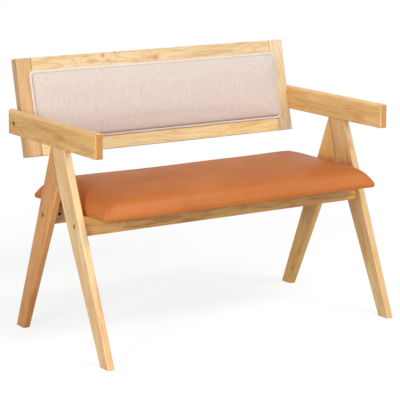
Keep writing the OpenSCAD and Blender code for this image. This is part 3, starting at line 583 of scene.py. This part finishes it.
def firmEdge(piece, plan):
    # the hide is stretched hard over the board's lower edge, so that edge is crisp
    a, b, radius = plan["halfLong"], plan["halfWide"], plan["cornerRadius"]
    deep = plan["voxel"] * 1.05
    for v in piece.data.vertices:
        if v.co.z >= deep:
            continue
        x, y = abs(v.co.x), abs(v.co.y)
        pulledX = plan["draw"] * math.cos(math.pi / 2 * min(1, y / (b - radius)))
        pulledY = plan["draw"] * math.cos(math.pi / 2 * min(1, x / (a - radius)))
        outX, outY = x - (a - pulledX - radius), y - (b - pulledY - radius)
        if outX > 0 and outY > 0:
            off = math.hypot(outX, outY)
            away = Vector((outX / off, outY / off, 0))
        elif outX > outY:
            off, away = outX, Vector((1, 0, 0))
        else:
            off, away = outY, Vector((0, 1, 0))
        off -= radius
        if off < -deep:
            continue
        out, down = (off + deep) / deep, (deep - v.co.z) / deep
        sharp = plan["sharp"]
        if v.co.y < 0 and v.co.x < 0:
            # the front left corner is folded more softly than the others
            sharp -= plan["softened"] * min(1, max(0, (x - plan["softFrom"]) / plan["softOver"]))
        grow = math.hypot(out, down) / (out ** sharp + down ** sharp) ** (1 / sharp) - 1
        shift = away * (out * grow * deep)
        v.co.x += math.copysign(shift.x, v.co.x)
        v.co.y += math.copysign(shift.y, v.co.y)
        v.co.z -= down * grow * deep


def foldCorners(piece, plan):
    # at each corner the hide is folded twice; the facet between the folds opens upwards from the low tip
    a, b = plan["halfLong"] - plan["foldReach"], plan["halfWide"] - plan["foldReach"]
    for v in piece.data.vertices:
        x, y = abs(v.co.x) - a, abs(v.co.y) - b
        high = (v.co.z - plan["facetFrom"]) / plan["facetHigh"]
        if min(x, y) < plan["foldClear"] or high > 1:
            continue
        high = max(0, high)
        distance = math.hypot(x, y)
        half = math.radians(plan["facetLeast"] + plan["facetOpen"] * high) * distance
        off = (math.atan2(y, x) - math.pi / 4) * distance
        fade = (1 - high) ** 0.8 * min(1, max(0, v.co.z / plan["facetFrom"])) ** 0.5
        hollow = max(0.0, 1 - (off / half) ** 2)
        wide = plan["ridgeWide"] + plan["ridgeOpens"] * high
        ridge = sum(math.exp(-((off - side * half) / wide) ** 2) for side in (-1, 1))
        tip = plan["tip"][v.co.x > 0, v.co.y > 0]
        push = tip * math.exp(-(off / plan["tipWide"]) ** 2) * (1 - high) ** 2
        push += fade * (plan["ridge"] * ridge - plan["facetDeep"] * hollow)
        v.co += Vector((math.copysign(x, v.co.x), math.copysign(y, v.co.y), 0)).normalized() * push


def staplePull(place, plan):
    # shallow pulls between the staples, along the lower edge
    low = max(0, 1 - abs(place.z - plan["pullHigh"]) / plan["pullHigh"])
    around = math.atan2(place.y * 2.2, place.x)
    turns = around * plan["stapleCount"] + 3 * noise.noise(Vector((around * 3, 0, 1)))
    return plan["staplePull"] * low * math.sin(turns)


def ripple(piece, plan):
    # soft waves in a cover; waves: how close they lie across and the other way, seed, height
    normals = [v.normal.copy() for v in piece.data.vertices]
    for v, normal in zip(piece.data.vertices, normals):
        wave = sum(noise.noise(Vector((v.co.x * closeX, v.co.y * closeY, seed))) * high
                   for closeX, closeY, seed, high in plan["waves"])
        wave *= min(1, v.co.z / plan["wavesFrom"])
        if "staplePull" in plan:
            wave += staplePull(v.co, plan)
        v.co += normal * wave


def makeTurnedHide(plan):
    # the strip of hide that is turned under the board
    inward = plan["tuck"] + plan["turnFrom"]
    a, b = plan["halfLong"] - inward, plan["halfWide"] - inward
    turn = plan["turn"] - plan["turnFrom"]
    # height, and share of the turn
    rows = ((0.0012, 0.0), (0.0, 0.0), (0.0, 0.3), (0.0, 0.7), (0.0, 0.985), (0.0003, 1.0), (0.0010, 1.0),
            (0.0012, 0.985), (0.0012, 0.5))
    rings = []
    for high, share in rows:
        inset = share * turn
        radius = plan["cornerRadius"] + 0.10 * inset
        ring = []
        for p in ringPoints(a - inset, b - inset, radius, plan["draw"] * (1 - share)):
            cut = noise.noise(p * 35) * 0.0004 * share  # the knife wandered a little
            out = Vector((p.x, p.y * 2.2, 0)).normalized()
            ring.append(p + out * cut + Vector((0, 0, high)))
        rings.append(ring)
    return bridge(rings, around=True)[0]


def makeSeat(plan):
    piece = makeSwelled("seat_hide", seatRings(plan), plan)
    firmEdge(piece, plan)
    foldCorners(piece, plan)
    ripple(piece, plan)
    addForm(piece, makeTurnedHide(plan))
    piece.data.transform(Matrix.Translation((0, plan["centreY"], plan["underside"])))
    smoothShade(piece)
    return piece


# the back pad: a padded dome in boucle linen, with a flat flange sewn round it
slope = math.radians(-13.2)
# the back's own frame: X across, Y rearwards, Z up the slope
backPlace = (Matrix.Translation((0, 0.2635 - middleY, 0.6115)) @ Matrix.Rotation(slope, 4, "X")
             @ Matrix.Translation((0, -0.014, -0.104)))
faceOut = Matrix(((1, 0, 0, 0), (0, 0, -1, 0), (0, 1, 0, 0), (0, 0, 0, 1)))
padPlace = backPlace @ Matrix.Translation((0, 0, 0.145)) @ faceOut  # the pad's own frame: Z out of its face

pad = {
    "halfLong": 0.440, "halfWide": 0.107, "cornerRadius": 0.015, "draw": 0.0015,
    "flange": 0.008, "flangeThick": 0.005, "seam": 0.0034,  # the seam line lies this far out of the frame
    "domeRadius": 0.009, "cornerPull": 0.9, "sideLeast": 0.004,
    "edgeWide": 0.034, "edgeRise": 0.0146, "crown": 0.007, "top": 0.025, "roundness": 2.2, "lastHalf": 0.012,
    "slack": 0.001, "slackFrom": 0.014, "sized": {"top": 2},
    "voxel": 0.005, "pressure": 4.0, "cap": 0.003, "heldBelow": 0.002, "freeAbove": 0.007,
    "boardLong": 0.4304, "boardWide": 0.0974, "boardLow": 0.0008, "boardHigh": 0.0082,
    "edgeFade": 0.012, "reach": 0.030,
    "waves": ((7, 9, 1.7, 0.0010), (30, 30, 5.2, 0.00025)), "wavesFrom": 0.012,
}


def padRings(plan):
    a, b = plan["halfLong"] - plan["flange"], plan["halfWide"] - plan["flange"]
    steps = ((0.0002, 0.0012), (plan["seam"] * 0.5, 0.0006))
    rings = [(high, a - inset, b - inset, plan["domeRadius"], plan["draw"]) for high, inset in steps]
    return rings + domeRings(plan, a, b, plan["seam"], (0.2, 0.4, 0.6, 0.8, 1.0))


def fillEdge(piece, plan):
    # the skin goes out round the board inside it, less and less towards the crown
    radius = plan["domeRadius"]
    for v in piece.data.vertices:
        x = abs(v.co.x) - plan["boardLong"] + radius
        y = abs(v.co.y) - plan["boardWide"] + radius
        short = radius - math.hypot(max(x, 0), max(y, 0)) - min(max(x, y), 0)
        share = min(1, 1 - (v.co.z - plan["boardHigh"]) / plan["edgeFade"])
        out = Vector((max(x + plan["reach"], 0), max(y + plan["reach"], 0))).normalized()
        if v.co.z > plan["boardLow"] and short > 0 and share > 0:
            v.co.x += math.copysign(out.x * short * share, v.co.x)
            v.co.y += math.copysign(out.y * short * share, v.co.y)


def makePad(plan):
    piece = makeSwelled("back_pad", padRings(plan), plan)
    ripple(piece, plan)
    fillEdge(piece, plan)
    piece.data.transform(padPlace)
    smoothShade(piece)
    return piece


def makeFlange(plan):
    # a closed strip round the dome; its edge is a little wavy, as sewn fabric is
    a, b = plan["halfLong"], plan["halfWide"]
    thick, wide = plan["flangeThick"], plan["flange"] + 0.0008
    # share of the width inwards, and share of the thickness
    section = ((0.0, 0.25), (0.06, 0.02), (0.30, 0.0), (0.80, 0.0), (1.60, 0.0), (1.62, 0.56), (1.0, 0.60),
               (0.93, 0.74), (0.84, 0.90), (0.70, 0.99), (0.5, 1.02), (0.28, 0.97), (0.10, 0.80),
               (0.02, 0.52))
    rings = []
    for acrossShare, highShare in section:
        inset = wide * acrossShare
        radius = max(plan["cornerRadius"] - inset * 0.75, 0.006)
        ring = []
        for p in ringPoints(a - inset, b - inset, radius, plan["draw"] * 0.6, 190, 52):
            out = Vector(((p.x / a) ** 7, (p.y / b) ** 7, 0)).normalized()
            wave = noise.noise(p * 60) * 0.0007 + noise.noise(p * 22 + Vector((0, 0, 4))) * 0.0008
            lift = 1 + noise.noise(p * 75 + Vector((7, 0, 0))) * 0.16
            ring.append(p + out * (wave - 0.0006) * (1 - acrossShare)
                        + Vector((0, 0, thick * highShare * lift + 0.0002)))
        rings.append(ring)
    piece = newPiece("back_pad_flange", bridge(rings, around=True)[0])
    piece.data.transform(padPlace)
    smoothShade(piece)
    return piece


def makeLeather():
    wire, place = startMaterial("tan_leather")
    cloud = wire.noise(place, 7.0, 3.0, 0.55)
    colour = wire.mix(wire.span(cloud, 0.3, 0.7), tint(193, 114, 54), tint(177, 101, 46))
    pebble = wire.out("ShaderNodeTexVoronoi", {"Vector": place, "Scale": 850.0, "Smoothness": 0.35},
                      feature="SMOOTH_F1")
    creases = wire.noise(wire.vector("MULTIPLY", place, (1, 1.6, 1)), 130.0, 3.0, 0.6)
    # painted light and shade near the ends: the top there is darkened with painted shade, and the sides there
    # are lightened with painted light
    endLightAndShade = wire.span(wire.absolute(wire.apart(place, 0)), 0.10, 0.42, 0.0, 0.7)
    upward = wire.span(wire.apart(wire.add("ShaderNodeNewGeometry").outputs["Normal"], 2), 0.5, 0.95)
    colour = wire.mix(endLightAndShade, colour, wire.mix(upward, tint(204, 119, 61), tint(168, 92, 38)))
    colour = wire.mix(wire.span(pebble, 0.25, 0.6, 0.0, 0.16), colour, tint(150, 80, 42))
    wire.put(wire.shader, "Specular IOR Level", 0.13)
    return wire.finish(colour, wire.span(cloud, 0.3, 0.7, 0.36, 0.46),
                       wire.plus(wire.times(pebble, -0.8), wire.times(creases, 0.5)), 0.35)


def makeLinen(name, pale, deep):
    wire, place = startMaterial(name)
    local = wire.turned(place, (slope, 0, 0))
    woven = wire.vector("ADD", local, wire.shake(local, 160.0, 0.0016))
    warp = wire.math("SINE", wire.times(wire.apart(woven, 0), 2 * math.pi / 0.0017))
    weft = wire.math("SINE", wire.times(wire.apart(woven, 2), 2 * math.pi / 0.0021))
    threads = wire.math("MAXIMUM", wire.times(warp, 0.8), wire.times(weft, 0.6))
    upright = wire.grain(local, (360.0, 360.0, 26.0), 2.0, 0.6)
    level = wire.grain(local, (60.0, 520.0, 520.0), 2.0, 0.6)
    loops = wire.noise(local, 900.0, 2.0, 0.6)
    shade = wire.plus(wire.times(upright, 0.68), wire.times(level, 0.32))
    colour = wire.mix(wire.span(shade, 0.34, 0.66), deep, pale)
    colour = wire.mix(wire.span(wire.times(warp, weft), -1, 1, 0.0, 0.22), colour, deep)
    wire.put(wire.shader, "Specular IOR Level", 0.2)
    wire.put(wire.shader, "Sheen Weight", 0.25)
    wire.put(wire.shader, "Sheen Roughness", 0.5)
    height = wire.plus(wire.times(threads, 0.5), wire.plus(loops, shade))
    return wire.finish(colour, 0.92, height, 0.55, 0.0006)


seatHide = makeSeat(seat)
seatHide.data.materials.append(makeLeather())
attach(seatHide, "root")
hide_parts("seat_cover", "seat_foam")
print("seat upholstered:", len(seatHide.data.polygons), "faces")

linen = makeLinen("linen", tint(226, 212, 202), tint(208, 193, 182))
backPad = makePad(pad)
backPad.data.materials.append(linen)
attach(backPad, "root")
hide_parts("back_pad_cover", "back_pad_foam")
padFlange = makeFlange(pad)
padFlange.data.materials.append(makeLinen("linen_edge", tint(237, 225, 216), tint(218, 203, 194)))
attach(padFlange, "root")
print("pad upholstered:", len(backPad.data.polygons), "faces")


# the dust cloth under the seat, and the fabric on the back's rear panel
dustCloth = {
    "halfLong": 0.4270, "halfWide": 0.1690, "cornerRadius": 0.020,
    "low": 0.3984, "thick": 0.0006, "wave": 0.0005,
    "railY": 0.09313, "railHalf": 0.0175, "crossX": 0.290, "crossHalf": 0.0225,
    "sagInner": 0.0035, "sagOuter": 0.0014,
}


def bump01(value, low, high):
    # 0 at both ends of a span, 1 in its middle
    share = (value - low) / (high - low)
    return max(0.0, 1 - (2 * share - 1) ** 2) if 0 < share < 1 else 0.0


def clothSag(x, y, plan):
    # the cloth hangs a little in each bay between the rails
    x, y = abs(x), abs(y)
    railIn, railOut = (plan["railY"] + side * plan["railHalf"] for side in (-1, 1))
    crossIn, crossOut = (plan["crossX"] + side * plan["crossHalf"] for side in (-1, 1))
    inner = bump01(y, -railIn, railIn)
    outer = bump01(y, railOut, plan["halfWide"])
    middle = bump01(x, -crossIn, crossIn) ** 0.6
    end = bump01(x, crossOut, plan["halfLong"])
    along = bump01(x, -plan["halfLong"], plan["halfLong"]) ** 0.5
    return plan["sagInner"] * inner * max(middle, end * 0.6) + plan["sagOuter"] * outer * along


def openSheet(name, rings, thick):
    # a thin sheet through rings of points, the last one filled; its thickness lies away from its faces
    built, loops = bridge([list(reversed(ring)) for ring in rings])
    built.faces.new(loops[-1])
    piece = newPiece(name, built)
    wall = piece.modifiers.new("wall", "SOLIDIFY")
    wall.thickness = thick
    wall.offset = -1
    settle(piece)
    smoothShade(piece)
    return piece


def makeDustCloth(plan):
    rings = []
    for inset in [0.0, 0.003] + [0.008 * step for step in range(1, 20)] + [0.160]:
        ring = []
        radius = max(plan["cornerRadius"] - inset, 0.001)
        for p in ringPoints(plan["halfLong"] - inset, plan["halfWide"] - inset, radius, 0, 100, 40):
            sag = clothSag(p.x, p.y, plan)
            wave = noise.noise(Vector((p.x * 14, p.y * 26, 2.0))) * plan["wave"] * min(1, inset / 0.02)
            hang = sag + wave * min(1, sag / 0.0005)
            ring.append(Vector((p.x, p.y + seat["centreY"], plan["low"] - hang)))
        rings.append(ring)
    return openSheet("seat_dust_cloth", rings, plan["thick"])


rearPanel = {
    "halfLong": 0.4334, "low": 0.0446, "high": 0.2454, "cornerRadius": 0.0074,
    "board": 0.0150, "face": 0.0238, "edge": 0.0022, "puff": 0.0011, "wave": 0.0002, "thick": 0.0006,
    "boltsX": (0.402, 0.134), "boltsZ": (0.076, 0.214),
}


def makeRearPanel(plan):
    # fabric pulled over the panel's edges, a little full between its bolts
    middle = (plan["low"] + plan["high"]) / 2
    halfWide = (plan["high"] - plan["low"]) / 2
    insets = [(0.0, plan["board"])]
    for step in range(5):
        angle = math.pi / 2 * step / 4
        insets.append((plan["edge"] * (1 - math.cos(angle)),
                       plan["face"] - plan["edge"] * (1 - math.sin(angle))))
    insets += [(plan["edge"] + 0.006 * step, plan["face"]) for step in range(1, 16)]
    bolts = [(x, z) for x in plan["boltsX"] for z in plan["boltsZ"]]
    rings = []
    for inset, depth in insets:
        ring = []
        radius = max(plan["cornerRadius"] - inset, 0.0015)
        flat = min(1, max(0, inset - plan["edge"]) / 0.02)
        for p in ringPoints(plan["halfLong"] - inset, halfWide - inset, radius, 0, 120, 32):
            z = middle + p.y
            off = min(math.hypot(abs(p.x) - boltX, z - boltZ) for boltX, boltZ in bolts)
            full = plan["puff"] * (1 - math.exp(-max(0, off - 0.006) / 0.020)) * flat
            full += noise.noise(Vector((p.x * 18, p.y * 18, 6.0))) * plan["wave"] * min(1, inset / 0.01)
            ring.append(backPlace @ Vector((p.x, depth + full, z)))
        rings.append(ring)
    return openSheet("back_rear_fabric", rings, plan["thick"])


def makeCloth():
    # thin unwoven cloth, pressed in a grid of small dots
    wire, place = startMaterial("dust_cloth")
    fibre = wire.noise(wire.vector("MULTIPLY", place, (1, 1.4, 1)), 900.0, 4.0, 0.7)
    cloud = wire.noise(place, 30.0, 3.0)
    dots = wire.out("ShaderNodeTexVoronoi", {"Vector": place, "Scale": 420.0, "Randomness": 0.15})
    shade = wire.plus(wire.times(fibre, 0.7), wire.times(cloud, 0.3))
    wire.put(wire.shader, "Specular IOR Level", 0.15)
    return wire.finish(wire.mix(wire.span(shade, 0.35, 0.65), tint(44, 43, 42), tint(70, 68, 66)), 0.95,
                       wire.plus(wire.soft(dots, 0.1, 0.35, 0, 1), wire.times(fibre, 0.6)), 0.5)


underCloth = makeDustCloth(dustCloth)
underCloth.data.materials.append(makeCloth())
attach(underCloth, "root")
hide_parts("seat_bottom_cloth")

rearCloth = makeRearPanel(rearPanel)
rearCloth.data.materials.append(linen)
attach(rearCloth, "root")
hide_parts("back_rear_cover")
print("cloths laid")


# staples and stitches, set out along their paths with geometry nodes
def startTree(name, inputs):
    tree = bpy.data.node_groups.new(name, "GeometryNodeTree")
    tree.interface.new_socket("Geometry", in_out="INPUT", socket_type="NodeSocketGeometry")
    for label in inputs:
        tree.interface.new_socket(label, in_out="INPUT", socket_type="NodeSocketFloat")
    tree.interface.new_socket("Geometry", in_out="OUTPUT", socket_type="NodeSocketGeometry")
    wire = Wiring(tree)
    return tree, wire, wire.add("NodeGroupInput")


def finishTree(wire, points, instance, turn, least, most, seed, material):
    # one instance a point, each turned a little by chance between two limits
    chance = wire.add("FunctionNodeRandomValue", {"Seed": seed}, data_type="FLOAT_VECTOR")
    wire.put(chance, 0, least)
    wire.put(chance, 1, most)
    spun = wire.out("FunctionNodeRotateRotation", {0: turn, 1: chance.outputs[0]}, rotation_space="LOCAL")
    placed = wire.out("GeometryNodeInstanceOnPoints", {"Points": points, "Instance": instance,
                                                       "Rotation": spun})
    real = wire.out("GeometryNodeRealizeInstances", {"Geometry": placed})
    painted = wire.out("GeometryNodeSetMaterial", {"Geometry": real, "Material": material})
    wire.add("NodeGroupOutput", {"Geometry": painted})


def alongPath(wire, start, skip=None):
    # points at even spacing on the path, each turned to follow it
    line = wire.out("GeometryNodeMeshToCurve", {"Mesh": start.outputs["Geometry"]})
    even = wire.out("GeometryNodeResampleCurve", {"Curve": line, "Length": start.outputs["Spacing"]},
                    mode="LENGTH")
    tangent = wire.out("GeometryNodeInputTangent")
    turned = wire.out("FunctionNodeAlignRotationToVector", {"Vector": tangent}, axis="X")
    kept = wire.add("GeometryNodeCaptureAttribute", {"Geometry": even})
    kept.capture_items.new("ROTATION", "turn")
    wire.put(kept, "turn", turned)
    points = wire.out("GeometryNodeCurveToPoints", {"Curve": kept.outputs["Geometry"]}, mode="EVALUATED")
    if skip:
        points = wire.out("GeometryNodeDeleteGeometry", {"Geometry": points, "Selection": skip},
                          domain="POINT")
    return points, kept.outputs["turn"]


def runTree(name, path, tree, values):
    # path: points of a closed line; gives back a plain mesh object
    mesh = bpy.data.meshes.new(name)
    mesh.from_pydata([tuple(p) for p in path], [(i, (i + 1) % len(path)) for i in range(len(path))], [])
    piece = newObject(name, mesh)
    setting = piece.modifiers.new("along path", "NODES")
    setting.node_group = tree
    for item in tree.interface.items_tree:
        if item.in_out == "INPUT" and item.name in values:
            setting[item.identifier] = values[item.name]
    settle(piece)
    smoothShade(piece)
    return piece


staples = {"Spacing": 0.027, "Long": 0.0105, "Wire": 0.0011, "Rail middle": dustCloth["railY"],
           "Rail half": dustCloth["railHalf"] + 0.012, "Ends from": 0.35}
stapleInset = 0.007  # from the turned hide's inner edge
stitches = {"Spacing": 0.0052, "Long": 0.0042, "Thread": 0.0009}


def stapleTree(material):
    tree, wire, start = startTree("staples along the hide", staples)
    given = start.outputs
    place = wire.out("GeometryNodeInputPosition")
    off = wire.absolute(wire.minus(wire.absolute(wire.apart(place, 1)), given["Rail middle"]))
    under = wire.math("LESS_THAN", off, given["Rail half"])
    atEnd = wire.math("GREATER_THAN", wire.absolute(wire.apart(place, 0)), given["Ends from"])
    points, turn = alongPath(wire, start, wire.times(under, atEnd))
    half = wire.times(given["Wire"], 0.5)
    rod = wire.out("GeometryNodeMeshCylinder", {"Vertices": 8, "Radius": half, "Depth": given["Long"]})
    joined = wire.add("GeometryNodeJoinGeometry")
    wire.put(joined, 0, wire.out("GeometryNodeTransform", {"Geometry": rod, "Rotation": (0, math.pi / 2, 0),
                                                           "Scale": (1, 1, 0.6)}))
    for side in (-0.5, 0.5):
        leg = wire.out("GeometryNodeMeshCylinder", {"Vertices": 8, "Radius": half, "Depth": 0.003})
        shift = wire.out("ShaderNodeCombineXYZ", {"X": wire.times(given["Long"], side), "Z": 0.0012})
        wire.put(joined, 0, wire.out("GeometryNodeTransform", {"Geometry": leg, "Translation": shift}))
    finishTree(wire, points, joined.outputs[0], turn, (-0.02, -0.02, -0.16), (0.02, 0.02, 0.16), 7,
               material)
    return tree


def stitchTree(material):
    tree, wire, start = startTree("stitches along the seam", stitches)
    points, turn = alongPath(wire, start)
    ball = wire.add("GeometryNodeMeshUVSphere", {"Segments": 8, "Rings": 5, "Radius": 0.5})
    size = wire.out("ShaderNodeCombineXYZ", {"X": start.outputs["Long"], "Y": start.outputs["Thread"],
                                             "Z": start.outputs["Thread"]})
    one = wire.out("GeometryNodeTransform", {"Geometry": ball.outputs[0], "Scale": size})
    finishTree(wire, points, one, turn, (-0.1, -0.08, 0.04), (0.1, 0.08, 0.14), 3, material)
    return tree


def makeMetal(name, bright, dull, rough):
    wire, place = startMaterial(name)
    rubbed = wire.noise(place, 260.0, 4.0, 0.6)
    fine = wire.noise(place, 1800.0)
    wire.put(wire.shader, "Metallic", 1.0)
    return wire.finish(wire.mix(wire.span(rubbed, 0.4, 0.65), dull, bright),
                       wire.span(fine, 0.3, 0.7, rough - 0.08, rough + 0.08), fine, 0.15, 0.0001)


def makeThread():
    wire, place = startMaterial("sewing_thread")
    twist = wire.noise(place, 2600.0)
    return wire.finish(wire.mix(twist, tint(196, 182, 180), tint(222, 210, 206)), 0.8)


zinc = makeMetal("zinc_steel", tint(186, 186, 184), tint(140, 140, 138), 0.34)
blackSteel = makeMetal("black_steel", tint(62, 58, 54), tint(34, 32, 30), 0.42)

inward = seat["tuck"] + seat["turn"] - stapleInset
hideLine = ringPoints(seat["halfLong"] - inward, seat["halfWide"] - inward, 0.018, 0)
hidePath = [p + Vector((0, seat["centreY"], seat["underside"] - staples["Wire"] * 0.2)) for p in hideLine]
hideStaples = runTree("hide_staples", hidePath, stapleTree(zinc), staples)
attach(hideStaples, "root")

inward = pad["flange"] + 0.0002
seamLine = ringPoints(pad["halfLong"] - inward, pad["halfWide"] - inward, pad["cornerRadius"] * 0.62,
                      pad["draw"])
seamPath = [p + Vector((0, 0, pad["seam"] + stitches["Thread"] * 0.15)) for p in seamLine]
seamStitches = runTree("flange_stitches", seamPath, stitchTree(makeThread()), stitches)
seamStitches.data.transform(padPlace)
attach(seamStitches, "root")
print("staples and stitches set:", len(hideStaples.data.polygons), len(seamStitches.data.polygons), "faces")


# boards, dowels and fasteners that are mostly hidden
def makePlywood(name, tilt, ply):
    # plies show as bands across the board's thickness
    wire, place = startMaterial(name)
    local = wire.turned(place, tilt)
    band = wire.math("SINE", wire.times(wire.apart(local, 2), math.pi / ply))
    grain = wire.grain(local, (12, 260, 260), 3.0, 0.6)
    colour = wire.mix(wire.span(grain, 0.35, 0.65), tint(206, 168, 122), tint(228, 196, 150))
    colour = wire.mix(wire.span(band, 0.75, 0.98, 0, 0.5), colour, tint(140, 100, 66))
    return wire.finish(colour, 0.7, grain)


def makeDowelWood():
    wire, place = startMaterial("dowel_beech")
    fleck = wire.noise(place, 700.0, 3.0, 0.6)
    colour = wire.mix(wire.span(fleck, 0.4, 0.6), tint(205, 160, 112), tint(226, 188, 142))
    return wire.finish(colour, 0.65, fleck)


for material, nodes in (
        (makeDowelWood(), ("leg_joint_dowels", "armrest_dowels", "rail_dowels", "cross_rail_dowels",
                           "back_frame_dowels", "armrest_pins")),
        (blackSteel, ("rail_bolts", "armrest_bolts")),
        (zinc, ("rail_barrel_nuts", "seat_screws", "back_pad_tee_nuts", "back_panel_bolts", "armrest_inserts")),
        (makePlywood("seat_plywood", (0, 0, 0), 0.0015), ("seat_board",)),
        (makePlywood("back_plywood", (slope + math.pi / 2, 0, 0), 0.0012),
         ("back_pad_board", "back_rear_board"))):
    for node in nodes:
        dress(node, material)
print("boards, dowels and fasteners finished")


# light and floor
def makeFloor():
    built = bmesh.new()
    bmesh.ops.create_grid(built, x_segments=1, y_segments=1, size=30)
    floor = newPiece("floor", built)
    wire, place = startMaterial("floor")
    wire.put(wire.shader, "Specular IOR Level", 0.0)
    floor.data.materials.append(wire.finish((0.64, 0.64, 0.64, 1), 0.9))
    paths = wire.add("ShaderNodeLightPath").outputs
    seen = wire.math("MAXIMUM", paths["Is Camera Ray"], paths["Is Transmission Ray"])
    glow = wire.out("ShaderNodeEmission", {"Strength": 0.76})
    pale = wire.out("ShaderNodeBsdfDiffuse", {"Color": (0.30, 0.30, 0.30, 1)})
    near = wire.out("ShaderNodeAddShader", {0: glow, 1: pale})
    # further from the bench the floor is plain white, as a studio sweep is
    far = wire.soft(wire.vector("LENGTH", place), 0.9, 2.0, 0, 1)
    white = wire.out("ShaderNodeEmission", {"Strength": 1.0})
    sweep = wire.out("ShaderNodeMixShader", {0: far, 1: near, 2: white})
    choose = wire.out("ShaderNodeMixShader", {0: seen, 1: wire.shader.outputs[0], 2: sweep})
    wire.put(wire.tree.nodes["Material Output"], "Surface", choose)


def makeWorld():
    world = bpy.data.worlds.new("studio")
    world.use_nodes = True
    scene.world = world
    wire = Wiring(world.node_tree)
    paths = wire.add("ShaderNodeLightPath").outputs
    clear = wire.math("MAXIMUM", paths["Is Glossy Ray"], paths["Is Transmission Ray"])
    seen = wire.math("MAXIMUM", paths["Is Camera Ray"], clear)
    back = world.node_tree.nodes["Background"]
    wire.put(back, "Color", (1, 1, 1, 1))
    wire.put(back, "Strength", wire.span(seen, 0, 1, 0.46, 1.0))


lampPlan = {
    "key": dict(at=(0.9, -2.6, 3.2), wide=3.2, high=1.0, power=100),
    "fill": dict(at=(-3.4, -1.9, 1.3), wide=1.3, high=1.3, power=64),
}
lampsAim = (0, 0, 0.4)


def makeLamps():
    for name, plan in lampPlan.items():
        lamp = bpy.data.lights.new(name, "AREA")
        lamp.shape = "RECTANGLE"
        lamp.size, lamp.size_y = plan["wide"], plan["high"]
        lamp.energy = plan["power"]
        held = newObject(name, lamp)
        held.location = plan["at"]
        held.rotation_euler = (Vector(lampsAim) - Vector(plan["at"])).to_track_quat("-Z", "Y").to_euler()


makeFloor()
makeWorld()
makeLamps()
scene.view_settings.view_transform = "Standard"
print("room lit")
